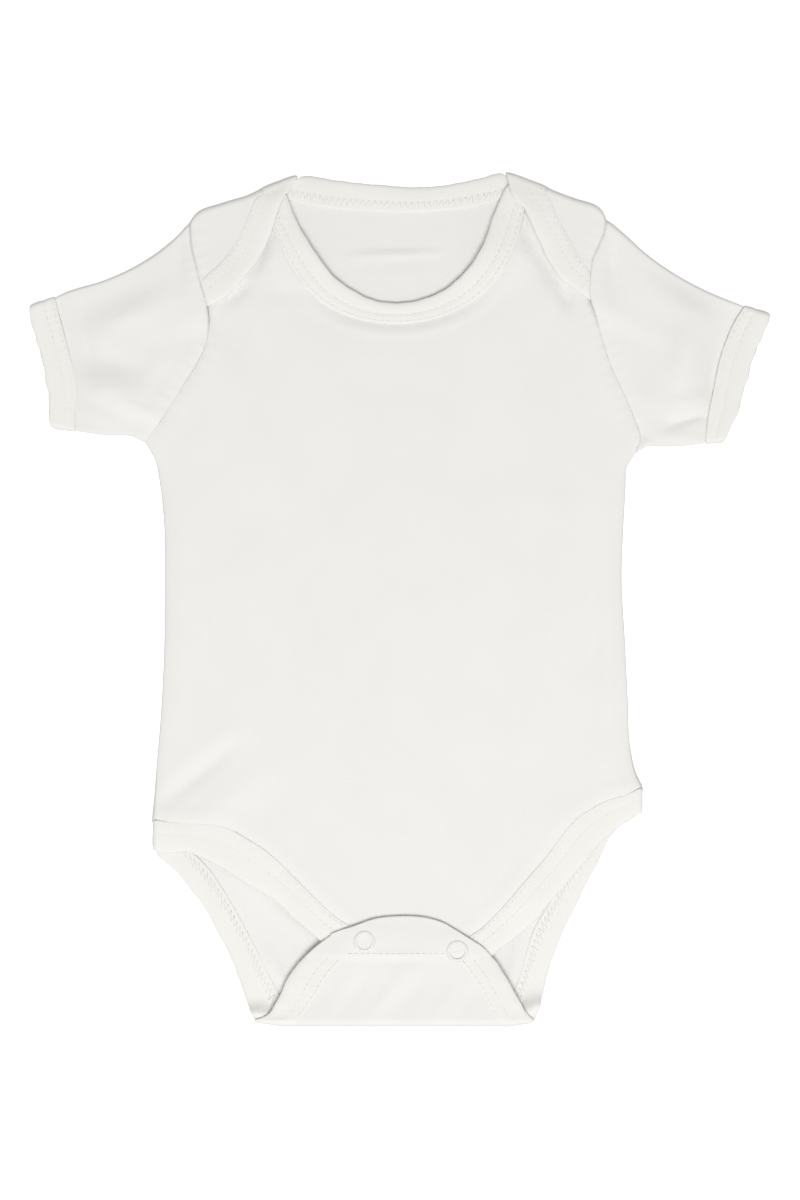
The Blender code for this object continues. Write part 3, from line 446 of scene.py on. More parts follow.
def front_blocks():
    """The front's plan: below the underarms, the chest, and a strap at each side of the neck."""
    spread = np.linspace(0.0, 1.0, STRAP_STEPS + 1) ** STRAP_SPREAD
    middle = np.linspace(STRAP_SHARE, 1 - STRAP_SHARE, NECK_FRONT_STEPS + 1)
    shares = np.concatenate([STRAP_SHARE * spread, middle[1:-1], 1 - STRAP_SHARE * spread[::-1]])
    blocks = lower_blocks(LEG_FRONT_L, LEG_FRONT_R, shares, STRAP_STEPS)
    neck = beside(NECK_F)
    base = len(ARM_L) - 2 - STRAP_STEPS
    straps = []
    for arm, side in ((ARM_L, neck[: STRAP_STEPS + 1][::-1]), (ARM_R, neck[-STRAP_STEPS - 1 :])):
        ends = [row_between(arm[at], end, spread) for at, end in ((base, side[0]), (-2, side[-1]))]
        straps.append(patch(*ends, arm[base:-1], side))
    chest = np.vstack([straps[0][0], neck[STRAP_STEPS + 1 : -STRAP_STEPS - 1], straps[1][0][::-1]])
    blocks.append(patch(blocks[-1][-1], chest, ARM_L[: base + 1], ARM_R[: base + 1]))
    return blocks + straps


bm = bmesh.new()
for block in front_blocks():
    lay(bm, raised(block, front_z(block)))
front = finish_piece("front_cloth", bm, INTERLOCK, WALL, ["front_panel"])

# ----------------------------------------
# Back panel, shoulder laps and crotch flap
# One piece of the same interlock cotton. It lies on the ground, turns over both shoulders as the
# laps that end on the armholes, and over the crotch as the flap that snaps on to the front.

BACK_Z, LAP_Z = 0.5, 5.0  # middle of the back's layer, and of a lap's
FLAP_Z, SNAP_Z = 4.4, 5.7  # middle of the flap at a hem's thickness, at its lower end and at the snaps
BINDING = 1.8  # a folded binding's thickness
BACK_BINDING_Z = BINDING / 2
CROTCH_REACH = 3.2  # from the crotch fold's outer edge to where the cloth lies flat
SIDE_LIFT, SIDE_LIFT_REACH = 0.5, 3.0  # the back turns up to its side seams
BACK_FOLD_MOST = 1.2  # its folds rise no higher
LAP_ROLL = 0.8  # a lap's share of the roll into the armhole's seam
LAP_LIFT, LAP_LIFT_REACH = 1.3, 9.0  # along a lap's free edge
LAP_NECK_LIFT, LAP_NECK_Y, LAP_NECK_SPAN = 1.2, 170.0, 13.0  # and more beside the neck
FLAP_RISE_Y, FLAP_RISE_SPAN = -184.0, 26.0  # start and length of the flap's rise to its snaps
CROTCH_LIFT, CROTCH_LIFT_Y, CROTCH_LIFT_SPAN = 2.4, -187.0, 13.0  # the fold is full
SNAP_HOLD, ARCH_DROP, ARCH_REACH = 9.0, 0.9, 7.0  # away from the snaps the arch's edge drops
HEM_LINE, HEM_RISE = -156.6, 0.55  # lower edge of the flap's turned hem, which is a layer thicker
HEM_STEP = 1.6  # over which the hem's edge rises
HEM_LEFT, HEM_RIGHT = 0.72, 0.78  # shares of the flap's sides at which its hem covers their bindings
HEM_WIDENING = 0.12  # share of a side over which the cloth widens up to there
SHOULDER_TURN = 0.6  # how early along a shoulder its fold turns to the neck's direction
LAP_OVERRUN = 1.0  # how far a lap's cloth goes down the armhole past its binding's seam
SHOULDER_OUT_L = np.array([-0.352, 0.936, 0.35, 0.60])  # at a binding's seam, and at its edge
SHOULDER_OUT_R = np.array([0.384, 0.923, -0.35, 0.60])
CROTCH_OUT_L = unit(np.array([[0.0, -1.0], [0.45, -0.89]])).ravel()
CROTCH_OUT_R = unit(np.array([[0.0, -1.0], [-0.45, -0.89]])).ravel()
SHOULDER_LEFT = [(-92.4, 166.3), (-89.3, 170.3), (-78.3, 174.7), (-64.2, 179.1), (-60.7, 180.8)]
SHOULDER_RIGHT = [(90.6, 167.6), (88.9, 171.2), (75.2, 177.3), (66.9, 180.4), (64.4, 181.5)]
FLAP_ARCH = [  # x, y
    (-47.1, -160.2), (-40.5, -152.9), (-34.3, -148.7), (-28.2, -145.6), (-21.6, -143.4),
    (-10.1, -139.5), (-1.3, -138.6), (5.7, -138.6), (12.8, -139.5), (19.4, -141.7), (24.6, -144.8),
    (30.8, -148.7), (37.8, -153.1), (42.7, -159.3),
]
NECK_BACK = [  # seam x, seam y, edge x, edge y
    (-60.7, 180.8, -44.6, 186.5), (-57.3, 177.7, -43.7, 186), (-52, 176.6, -41.2, 186.4),
    (-44, 174.7, -36, 185.9), (-30.4, 172.5, -28.2, 184.4), (-15.4, 171.2, -14.5, 183),
    (0, 170.7, 0, 181.7), (15.4, 171.2, 14.1, 181.7), (29.9, 172.9, 26.8, 183.5), (42.7, 175.6, 37.4, 186.1),
    (52.5, 178, 43, 187.5), (58.5, 178.6, 45.2, 187.3), (64.6, 181.6, 45.8, 187.9),
]
LAP_LEFT = [  # seam x, seam y, edge x, edge y
    (-60.7, 180.8, -44.6, 186.5), (-63.4, 175.6, -50.9, 176.2), (-66, 169.8, -53.9, 168.1),
    (-68.2, 165, -56.3, 161.5), (-71.3, 158, -59.4, 154), (-76.1, 150.9, -63.8, 147),
    (-80.1, 146.5, -70.4, 139), (-84.5, 142.6, -77, 132.3),
]
LAP_RIGHT = [  # seam x, seam y, edge x, edge y
    (64.6, 181.6, 45.8, 187.9), (65.6, 176.4, 48.4, 179), (68, 170.6, 54.4, 171.4),
    (71.4, 163.4, 58.3, 163.2), (74.8, 157.4, 61.2, 156.8), (78.3, 151, 65.6, 148),
    (80.8, 147.4, 71.3, 140.4),
]
LAP_ENDS = ((139.6, 128.8), (144.0, 131.4))  # heights where a lap's seam and edge meet the armhole
LEG_BACK_LEFT = [  # seam x, seam y, edge x, edge y
    (-108.9, -96.6, -109.1, -110), (-103, -101.6, -106.5, -112.6), (-96.8, -106.5, -102.1, -116.2),
    (-90.2, -111.8, -97.2, -120.6), (-84.5, -117.5, -92.4, -126.7), (-78.3, -126.3, -87.6, -132.9),
    (-72.2, -136.4, -82.3, -141.7), (-67.3, -145.6, -77.9, -150), (-62.5, -154.4, -73.5, -159.3),
    (-58.5, -162.8, -70.4, -167.6), (-53.7, -172, -67.3, -176.4), (-49.3, -179.5, -65.1, -181.7),
    (-45.3, -187.2, -62.5, -187.2),
]
LEG_BACK_RIGHT = [  # seam x, seam y, edge x, edge y
    (106.9, -82.7, 106.9, -93.7), (100.3, -88, 102.1, -96.4), (93.3, -93.7, 95.9, -100.3),
    (86.2, -101.2, 91.1, -106.5), (81, -109.1, 87.1, -115.3), (75.2, -117.9, 82.7, -123.2),
    (69.1, -127.6, 77.9, -133.3), (63.8, -136, 73.5, -141.7), (58.5, -145.6, 69.5, -151.4),
    (55.4, -154.9, 66.9, -158), (53.2, -163.2, 64.7, -165), (50.2, -171.6, 62.9, -172.9),
    (46.6, -179.5, 61.2, -179.1), (42.7, -187.2, 57.6, -187.2),
]
FLAP_SIDE_LEFT = [  # seam x, seam y, edge x, edge y
    (-45.3, -187.2, -62.5, -187.2), (-42.2, -181.7, -58.5, -182.2), (-39.2, -177.3, -55, -177.3),
    (-35.6, -172, -52.2, -172), (-32.2, -166.4, -47.8, -163.6), (-28.6, -161.6, -41.8, -156.4),
    (-24.6, -157.6, -36, -151.2), (-20.6, -154.4, -30.4, -147),
]
FLAP_SIDE_RIGHT = [  # seam x, seam y, edge x, edge y
    (42.7, -187.2, 57.6, -187.2), (40.5, -181.7, 56.3, -181.7), (37.4, -176, 52.8, -176.4),
    (34.4, -169.8, 49.3, -170.3), (31.0, -164.6, 45.3, -163.2), (27.6, -160.2, 40.8, -156.9),
    (24.6, -157.2, 36.4, -152.2), (21.4, -154.6, 31.0, -148.8),
]
BACK_FOLDS = [  # x, y, x, y, width, height
    (-21, 151, 17, 152.5, 1.5, 1.15), (-10, 143, 26, 146, 4.0, 0.25),  # inside the neck
    (-77, -119, -61, -131, 2.6, 1.30), (-63, -130, -47, -143, 2.4, 1.10),  # inside the left leg
    (-66, -122, -52, -133, 3.0, 0.60), (-58.5, -155, -51, -170, 3.2, 1.20),
    (-47, -143, -40, -150, 3.0, 0.90),
    (62, -120, 78, -104, 4.0, 0.55), (60, -140, 70, -120, 4.0, 0.50), (52, -152, 49.5, -168, 3.0, 1.10),
    (-70, 60, -20, 40, 10.0, 0.40), (30, 20, 74, -14, 9.0, 0.45), (-60, -50, 20, -70, 11.0, 0.40),
]
FLAP_FOLDS = [  # x, y, x, y, width, height
    (4, -160, -13, -183, 3.4, 0.60), (12, -163, 0, -180, 3.2, -0.45), (-22, -164, -32, -182, 3.4, 0.40),
    (-14, -162, -24, -180, 3.4, -0.40), (-15, -155.3, 11, -155.3, 1.6, 0.30),
    (26, -168, 16, -182, 3.6, 0.35), (-16, -158.6, 12, -158.6, 1.8, -0.35), (32, -172, 26, -184, 2.6, -0.30),
]
SHOULDER_STEPS, NECK_BACK_STEPS, LAP_STEPS, FLAP_STEPS, HEM_STEPS, FOLD_STEPS = 16, 70, 36, 36, 12, 8


def point_at(line, y):
    """Point of an armhole's line at a given height."""
    order = np.argsort(line[:, 1])
    return np.array([np.interp(y, line[order, 1], line[order, 0]), y])


NECK_B = drawn_in(NECK_BACK, SHOULDER_OUT_L, SHOULDER_REACH)
NECK_B = spline(drawn_in(NECK_B, SHOULDER_OUT_R, SHOULDER_REACH, end=-1), NECK_BACK_STEPS)


def lap_band(rows, arm, outward, ends):
    """A lap's binding, from the shoulder fold to its end on the armhole."""
    end = np.concatenate([point_at(arm, ends[0]), point_at(arm, ends[1])])
    return spline(np.vstack([drawn_in(rows, outward, SHOULDER_REACH), end]), LAP_STEPS)


LAP_L = lap_band(LAP_LEFT, ARM_L, SHOULDER_OUT_L, LAP_ENDS[0])
LAP_R = lap_band(LAP_RIGHT, ARM_R, SHOULDER_OUT_R, LAP_ENDS[1])


def leg_bands(back, flap, side, down):
    """A leg's binding on the back and on the flap, each drawn in from its folds."""
    back = drawn_in(drawn_in(back, side, HIP_REACH), down, CROTCH_REACH, end=-1)
    return spline(back, LEG_STEPS), spline(drawn_in(flap, down, CROTCH_REACH), FLAP_STEPS)


LEG_BACK_L, FLAP_SIDE_L = leg_bands(LEG_BACK_LEFT, FLAP_SIDE_LEFT, LEFTWARD, CROTCH_OUT_L)
LEG_BACK_R, FLAP_SIDE_R = leg_bands(LEG_BACK_RIGHT, FLAP_SIDE_RIGHT, RIGHTWARD, CROTCH_OUT_R)


def back_z(points):
    """Middle of the back layer, which lies on the ground and turns up to meet the front."""
    edge = np.clip(1.0 - nearest(points, SIDE_L[::4], SIDE_R[::4]) / SIDE_LIFT_REACH, 0.0, 1.0)
    return BACK_Z + SIDE_LIFT * edge**2 + np.clip(folds(points, BACK_FOLDS), 0.0, BACK_FOLD_MOST)


def lap_z(points):
    """Middle of a lap's layer: down at the armhole's seam, and a little lifted along its free edge."""
    edge = nearest(points, LAP_L[4:-4:3, 2:], LAP_R[4:-4:3, 2:])
    lift = LAP_LIFT + LAP_NECK_LIFT * hump(points[..., 1] - LAP_NECK_Y, LAP_NECK_SPAN)
    return LAP_Z + LAP_ROLL * armhole_roll(points) + lift * hump(edge, LAP_LIFT_REACH)


ARCH_EDGE = spline(FLAP_ARCH, 40)
SNAP_CENTRES = {"left": (-15.6, -149.8), "right": (25.1, -154.0)}


def flap_z(points):
    """Middle of the crotch flap's single layer: full at the fold, and held up by the snaps."""
    y = points[..., 1]
    rise = eased(np.clip((y - FLAP_RISE_Y) / FLAP_RISE_SPAN, 0.0, 1.0))
    middle = FLAP_Z + (SNAP_Z - FLAP_Z) * rise + folds(points, FLAP_FOLDS)
    middle += CROTCH_LIFT * hump(y - CROTCH_LIFT_Y, CROTCH_LIFT_SPAN)
    away = (np.linalg.norm(points - np.array(centre), axis=-1) for centre in SNAP_CENTRES.values())
    loose = 1.0 - np.clip(sum(np.exp(-((gap / SNAP_HOLD) ** 4)) for gap in away), 0.0, 1.0)
    return middle - HEM_RISE - ARCH_DROP * loose * hump(nearest(points, ARCH_EDGE), ARCH_REACH)


def hemmed_z(points):
    """The same with its hem, whose lower edge covers the ends of the side bindings."""
    share = np.clip((points[..., 1] - HEM_LINE) / HEM_STEP + 0.5, 0.0, 1.0)
    return flap_z(points) + HEM_RISE * eased(share)


def arc(points, outward, low, high):
    """Rows of points round a fold, from the lower layer to the upper one, with both ends left out."""
    radius = np.asarray((high - low) / 2)
    rows = []
    for step in range(1, FOLD_STEPS * 2):
        angle = math.pi * step / (FOLD_STEPS * 2)
        plan = points + outward * (radius * math.sin(angle))[..., None]
        rows.append(raised(plan, low + radius * (1 - math.cos(angle))))
    return rows


def shoulder_fold(arm, rows, seam_start, outward):
    """Where a shoulder's flat cloth starts, from the armhole to the neck seam, and its directions."""
    ridge = spline(rows, SHOULDER_STEPS)
    first = unit(arm[-1] - arm[-2])
    shares = np.linspace(0.0, 1.0, SHOULDER_STEPS + 1)[:, None] ** SHOULDER_TURN
    normals = unit(first * (1 - shares) + outward * shares)
    start = ridge - normals * SHOULDER_REACH
    start[0], start[-1] = arm[-2], seam_start
    return start, normals


def lap_block(arm, band, start, seam_y):
    """A lap's plan, from the shoulder fold down to its tip on the armhole."""
    tip_y = seam_y - LAP_OVERRUN
    upper = arm[:-1][arm[:-1, 1] > tip_y][::-1]
    left = resample(np.vstack([upper, point_at(arm, tip_y)]), np.linspace(0, 1, LAP_STEPS + 1))
    right = beside(band)
    tip = row_between(left[-1], right[-1], np.linspace(0, 1, len(start)))
    return patch(start, tip, left, right)


def inside_flap(band, covered):
    """The flap's side edge in its binding. It widens to the whole binding where the hem covers that."""
    width = np.linalg.norm(band[:, 2:] - band[:, :2], axis=1)
    share = np.linspace(0.0, 1.0, len(band))
    tuck = TUCK + (width - TUCK) * np.clip((share - covered) / HEM_WIDENING + 1.0, 0.0, 1.0)
    return band[:, :2] + across(band) * tuck[:, None]


def flap_hem(row):
    """The flap's hem, between the ends of its side bindings, up to the arch."""
    arch = spline(FLAP_ARCH, FINE_POINTS)
    corners = (FLAP_SIDE_L[-1, 2:], FLAP_SIDE_R[-1, 2:])
    first, last = (np.argmin(np.linalg.norm(arch - corner, axis=1)) for corner in corners)
    arch = resample(arch[first : last + 1], np.linspace(0.0, 1.0, len(row)))
    steps = np.linspace(0.0, 1.0, HEM_STEPS + 1)
    return patch(row, arch, row_between(row[0], arch[0], steps), row_between(row[-1], arch[-1], steps))


bm = bmesh.new()
left_neck = shoulder_fold(ARM_L, SHOULDER_LEFT, beside(NECK_B)[0], SHOULDER_OUT_L[:2])
right_neck = shoulder_fold(ARM_R, SHOULDER_RIGHT, beside(NECK_B)[-1], SHOULDER_OUT_R[:2])
even_shares = np.linspace(0.0, 1.0, 2 * SHOULDER_STEPS + NECK_BACK_STEPS + 1)
back_blocks = lower_blocks(LEG_BACK_L, LEG_BACK_R, even_shares, SHOULDER_STEPS)
neck_top = np.vstack([left_neck[0], beside(NECK_B)[1:-1], right_neck[0][::-1]])
back_blocks.append(patch(back_blocks[-1][-1], neck_top, ARM_L[:-1], ARM_R[:-1]))
for block in back_blocks:
    lay(bm, raised(block, back_z(block)))
for (start, normals), arm, band, ends in (
    (left_neck, ARM_L, LAP_L, LAP_ENDS[0]),
    (right_neck, ARM_R, LAP_R, LAP_ENDS[1]),
):
    plan = lap_block(arm, band, start, ends[0])
    turn = arc(start, normals, back_z(start), lap_z(start))
    lay(bm, [raised(start, back_z(start)), *turn, *(raised(row, lap_z(row)) for row in plan)])
crotch = back_blocks[0][0]
flap_sides = [inside_flap(FLAP_SIDE_L, HEM_LEFT), inside_flap(FLAP_SIDE_R, HEM_RIGHT)]
flap_end = row_between(flap_sides[0][-1], flap_sides[1][-1], np.linspace(0.0, 1.0, len(crotch)))
flap = patch(crotch, flap_end, *flap_sides)
turn = arc(crotch, np.tile(DOWN, (len(crotch), 1)), back_z(crotch), hemmed_z(crotch))
lay(bm, [raised(crotch, back_z(crotch)), *turn, *(raised(row, hemmed_z(row)) for row in flap)])
hem = flap_hem(flap[-1])
lay(bm, raised(hem, hemmed_z(hem)))
back = finish_piece("back_cloth", bm, INTERLOCK, WALL, ["back_panel"])

# ----------------------------------------
# Sleeves
# Two short sleeves of the same cotton, each one piece closed by an underarm seam. They are set
# into the armholes with their allowance turned in, and lie flat beside the body.

SLEEVE_TOP_LEFT = [
    (-92.4, 166.3), (-104.7, 154.4), (-116.6, 147), (-130.2, 141), (-147.8, 135.5), (-151.8, 133.8),
]
SLEEVE_TOP_RIGHT = [
    (90.6, 167.6), (97.7, 161.9), (106.9, 153.6), (122.8, 142.6), (139, 134.2), (151.8, 129.8),
]
SLEEVE_UNDER_LEFT = [(-111.8, 69.1), (-116.6, 71.7), (-129.4, 72.6), (-142.6, 73.5)]
SLEEVE_UNDER_RIGHT = [(103, 64.2), (107.8, 67.3), (115.3, 67.8), (125, 67.8), (134.2, 68.2)]
CUFF_LEFT = [  # seam x, seam y, edge x, edge y
    (-151.8, 133.8, -162.1, 129.4), (-150.5, 128, -162.4, 124.1), (-148.9, 122.3, -161, 118.4),
    (-146.1, 111.8, -158.4, 110), (-143.4, 100.8, -155.8, 99.4), (-142.6, 91.5, -154.4, 89.8),
    (-142.8, 82.7, -154.4, 83.2), (-142.6, 73.5, -153.1, 76.1),
]
CUFF_RIGHT = [  # seam x, seam y, edge x, edge y
    (151.8, 129.8, 162.4, 125), (147, 122.3, 161, 119.7), (142.6, 112.2, 157.5, 112.2),
    (139.9, 103.4, 154.4, 104.3), (137.7, 92.4, 151.4, 93.3), (135.5, 81.4, 148.7, 83.2),
    (134.6, 74.8, 145.2, 76.1), (134.2, 68.2, 142.6, 69.5),
]
SLEEVE_FOLDS = [  # x, y, x, y, width, height
    (-141, 95, -109, 87, 7.5, 2.50), (-134, 106, -114, 102, 4.5, -0.70), (-97, 166, -96, 138, 3.6, -1.40),
    (-104, 132, -132, 118, 7.0, 1.30), (-122, 86, -106, 80, 3.4, 1.40), (-104, 92, -110, 76, 4.0, 0.40),
    (-108, 140, -142, 126, 8.0, -1.10), (-102, 112, -112, 92, 5.0, 0.60), (-140, 84, -122, 76, 3.6, 0.90),
    (-141, 128, -134, 96, 4.0, -1.20), (-122, 124, -118, 112, 6.0, -0.60),
    (93, 157, 94, 134, 3.6, -1.40), (146, 124, 138, 82, 6.5, -1.60), (128, 124, 122, 90, 7.5, 2.50),
    (119, 77, 134, 82.5, 2.2, -1.80), (122, 85, 136, 90, 4.0, 0.90), (112, 136, 136, 120, 6.0, 0.90),
    (110, 72, 130, 71, 3.0, 0.70), (104, 76, 110, 70, 3.0, -0.90), (100, 126, 108, 104, 7.0, -0.50),
    (104, 92, 114, 84, 4.5, 0.45), (104, 150, 132, 134, 5.0, -0.40),
]
SLEEVE_STEPS = 48
LAP_TAIL = 14.0  # how far below a lap's end the sleeve is still lifted by it
CUFF_DROP, CUFF_DROP_REACH = 0.9, 7.0  # the upper layer drops towards the cuff's seam
CUFF_GROOVE, CUFF_GROOVE_REACH = 0.45, TUCK + 0.7  # and is drawn in beside it
SLEEVE_SWELL = 0.9  # how much fuller a sleeve is at its middle
SLEEVE_LEAST_Z = BACK_Z + 1.0  # no lower, so its two layers stay apart


def sleeve_z(points, cuff):
    """Middle of a sleeve's upper layer, which dips hard into the cuff's seam."""
    away = nearest(points, cuff)
    dip = CUFF_DROP * hump(away, CUFF_DROP_REACH) + CUFF_GROOVE * np.exp(-((away / CUFF_GROOVE_REACH) ** 4))
    return FRONT_Z + folds(points, SLEEVE_FOLDS) + armhole_roll(points) - dip


def cuff_band(rows):
    """A cuff's binding, from the underarm's fold up to the sleeve's top fold."""
    return with_ends(np.array(rows)[::-1], HIP_REACH, HIP_REACH, ARM_STEPS)


def flat_ring(row, low, high):
    """A flattened tube's ring round a row of plan points whose first and last are its outer edges."""
    high = np.broadcast_to(high, len(row))
    lower, upper = raised(row, low)[1:-1], raised(row, high)[1:-1]
    top = arc(row[-2], unit(row[-1] - row[-2]), low, high[-2])
    bottom = arc(row[1], unit(row[0] - row[1]), low, high[1])
    return np.vstack([lower, *top, upper[::-1], *bottom[::-1], lower[:1]])


def walk(rings, way):
    """Distance walked over rings of points, from ring to ring (0) or round them (1)."""
    steps = np.linalg.norm(np.diff(rings, axis=way), axis=2).mean(1 - way)
    return np.concatenate([[0.0], np.cumsum(steps)])


def uv_places(first, second):
    """UV places of a grid from its distances one way and the other."""
    return np.stack(np.broadcast_arrays(first, second), axis=-1)


for side, arm, cuff_rows, under, top, ends in (
    ("left", ARM_L, CUFF_LEFT, SLEEVE_UNDER_LEFT, SLEEVE_TOP_LEFT, LAP_ENDS[0]),
    ("right", ARM_R, CUFF_RIGHT, SLEEVE_UNDER_RIGHT, SLEEVE_TOP_RIGHT, LAP_ENDS[1]),
):
    cuff = beside(cuff_band(cuff_rows))
    edges = (np.vstack([spline(rows, SLEEVE_STEPS), cuff[end]]) for rows, end in ((under, 0), (top, -1)))
    plan = patch(arm, cuff, *(resample(edge, np.linspace(0, 1, SLEEVE_STEPS + 1)) for edge in edges))
    lift = (LAP_Z - FRONT_Z) * eased(np.clip((arm[:, 1] - ends[1] + LAP_TAIL) / LAP_TAIL, 0.0, 1.0))
    rings = []
    for step, row in enumerate(plan):
        share = step / SLEEVE_STEPS
        swell = SLEEVE_SWELL * math.sin(math.pi * share) * np.sin(np.linspace(0, math.pi, len(row)))
        high = sleeve_z(row, plan[-1, ::4]) + swell + lift * (1 - share) ** 2
        rings.append(flat_ring(row, BACK_Z, np.maximum(high, SLEEVE_LEAST_Z)))
    bm = bmesh.new()
    lay(bm, rings, uv_places(walk(rings, 1), walk(rings, 0)[:, None]))
    finish_piece(f"sleeve_cloth_{side}", bm, INTERLOCK, WALL, [f"sleeve_{side}"])

# ----------------------------------------
# Cuff bindings
# A strip of cotton rib folded over each sleeve's end and sewn down by two rows of stitches. The
# fold is the rolled outer edge, and the stitches pull a groove along the middle.

HALF = BINDING / 2  # no part of a binding is thicker to either side
GROOVED = [  # share of the binding's width from its seam, half thickness
    (0.0, 0.36), (0.012, 0.54), (0.04, 0.66), (0.085, 0.66), (0.11, 0.60), (0.14, 0.66), (0.20, 0.72),
    (0.28, 0.74), (0.35, 0.69), (0.40, 0.58), (0.42, 0.52), (0.44, 0.58), (0.50, 0.72), (0.62, 0.84),
    (0.75, 0.86), (0.86, 0.78), (0.94, 0.56), (0.985, 0.26), (1.0, 0.0),
]
FLATTER = [  # the same where the stitches lie looser: back of the neck, laps and legs
    (0.0, 0.36), (0.012, 0.54), (0.04, 0.66), (0.085, 0.69), (0.11, 0.66), (0.14, 0.69), (0.20, 0.73),
    (0.28, 0.75), (0.35, 0.76), (0.40, 0.74), (0.42, 0.71), (0.44, 0.74), (0.50, 0.78), (0.62, 0.81),
    (0.75, 0.81), (0.86, 0.73), (0.94, 0.54), (0.985, 0.26), (1.0, 0.0),
]
NEEDLES = (4, 10)  # the rows of a section that its two needle threads run along
STITCH = 2.7  # from one stitch to the next
PUCKER, PUCKER_DRIFT, DRIFT_LENGTH = 0.07, 1.3, 7.0  # one for each stitch, unevenly
PUCKERED = ((0.26, 0.12, 1.0), (0.6, 0.1, 0.6))  # share of the binding's width, reach and strength
SLOW_WAVES = ((0.05, 6.1, 0.0), (0.04, 9.7, 1.0))  # height, length over 2 pi, and start
FOLD_FIRM = 4.0  # how sharply those waves stop at the binding's fold
EDGE_WAVE, CUFF_WAVE = 0.012, 0.03  # how far a binding's width changes along it, as a share of it
WAVE_LENGTHS = (1.9, 5.3, 4.3)  # over 2 pi
CURL_START, CURL_SPAN = 0.3, 0.6  # shares of a binding's width
STATION_STEP = 0.9  # from one section of a binding to the next
RIB = cotton("rib_cotton", (0.876, 0.864, 0.832), (0.858, 0.844, 0.808), 1.0, 0.9, 0.08)


def fold_ups(outward, count):
    """The wall's inward directions round a fold, from the lower layer to the upper one."""
    outward = unit(np.array(outward, float))
    angles = [math.pi * step / (count + 1) for step in range(1, count + 1)]
    return [(*(-math.sin(a) * outward), math.cos(a)) for a in angles]


def rolled(x):
    """How a binding's edge rolls up across its width, from flat to flat again."""
    return eased(np.clip((x - CURL_START) / CURL_SPAN, 0.0, 1.0))


def walked_along(stations):
    """Distance along a binding's middle to each of its stations."""
    return lengths(np.array([(seam + edge) / 2 for seam, edge, *_ in stations]), 3)


def folded_strip(stations, section, wave):
    """Sections of a folded binding, puckered by its stitches: rings of points along its length.

    A station is a seam point, an edge point, the way to the inside, a thickness, and how far its
    edge curls that way.
    """
    share, flat = np.array(section).T
    near = sum(strength * hump(share - at, reach) for at, reach, strength in PUCKERED)
    loose = np.minimum(1.0, FOLD_FIRM * (1.0 - share))
    walked = walked_along(stations)
    puckers = PUCKER * np.sin(2 * math.pi * walked / STITCH + PUCKER_DRIFT * np.sin(walked / DRIFT_LENGTH))
    slow = sum(height * np.sin(walked / length + start) for height, length, start in SLOW_WAVES)
    first, second, third = (np.sin(walked / length) for length in WAVE_LENGTHS)
    wide = 1.0 + wave * (first * second + 0.5 * third)
    rings = []
    for (seam, edge, up, thick, curl), pucker, low, stretch in zip(stations, puckers, slow, wide):
        x, y = share * stretch, np.minimum(flat + pucker * near + low * loose, HALF) * thick
        x, y = np.concatenate([x, x[-2::-1], x[:1]]), np.concatenate([y, -y[-2::-1], y[:1]])
        rings.append(seam + np.outer(x, edge - seam) + np.outer(y + curl * rolled(x), up))
    return np.array(rings)


def evened(stations, closed=False):
    """A binding's stations at even steps along it."""
    if closed:
        stations = stations + stations[:1]
    walked = walked_along(stations)
    at = np.linspace(0.0, walked[-1], round(walked[-1] / STATION_STEP) + 1)
    rows = placed(np.array([[*seam, *edge, *up, *form] for seam, edge, up, *form in stations]), walked, at)
    rows[:, 6:9] = unit(rows[:, 6:9])
    return [(row[:3], row[3:6], row[6:9], *row[9:]) for row in rows]


def binding(name, stations, node, section, wave=EDGE_WAVE, closed=False):
    """A binding, whose ribs run across it, and its even stations."""
    stations = evened(stations, closed)
    rings = folded_strip(stations, section, wave)
    bm = bmesh.new()
    lay(bm, rings, uv_places(walked_along(stations)[:, None], walk(rings, 1)))
    if not closed:
        bmesh.ops.remove_doubles(bm, verts=bm.verts, dist=WELD * MM)
        bmesh.ops.holes_fill(bm, edges=[edge for edge in bm.edges if edge.is_boundary], sides=0)
    return finish_piece(name, bm, RIB, nodes=[node]), stations


CUFF_SEAM_Z, CUFF_Z = 2.8, 3.8  # middle of a cuff's upper layer, at its seam and at its edge


def cuff_stations(cuff_rows):
    """Round a sleeve's end: seam points, edge points and wall directions."""
    rows = cuff_band(cuff_rows)
    seam = flat_ring(rows[:, :2], BACK_BINDING_Z, CUFF_SEAM_Z)[:-1]
    edge = flat_ring(rows[:, 2:], BACK_BINDING_Z, CUFF_Z)[:-1]
    flat, fold = len(rows) - 2, 2 * FOLD_STEPS - 1
    ups = [(0, 0, 1)] * flat + fold_ups(rows[-1, :2] - rows[-2, :2], fold)
    ups += [(0, 0, -1)] * flat + fold_ups(rows[0, :2] - rows[1, :2], fold)[::-1]
    return [(*station, 1.0, 0.0) for station in zip(seam, edge, ups)]


cuffs = {}
for side, cuff_rows in (("left", CUFF_LEFT), ("right", CUFF_RIGHT)):
    cuffs[side] = binding(
        f"cuff_rib_{side}", cuff_stations(cuff_rows), f"cuff_binding_{side}", GROOVED, CUFF_WAVE, closed=True
    )

# ----------------------------------------
# Neck bindings
# Folded strips of the same rib. One follows the front of the neck, and one the back of the neck
# and on over the shoulders, where it edges both laps down to the armholes.

BAND_DROP = 0.7  # the front band lies lower at the neck's bottom
BAND_FOLDS = 0.5  # share of the front's folds that a band on it follows
SHOULDER_PLUMP = 0.4  # how much thicker a band is where it turns over a shoulder


def flat_stations(band, height, up, thick=1.0, curl=0.0):
    """A binding's stations on one layer of the garment."""
    lines = (band[:, :2], band[:, 2:])
    seam, edge = (raised(line, height(line) if callable(height) else height) for line in lines)
    thick, curl = (np.broadcast_to(value, len(band)) for value in (thick, curl))
    return list(zip(seam, edge, [(0, 0, up)] * len(band), thick, curl))


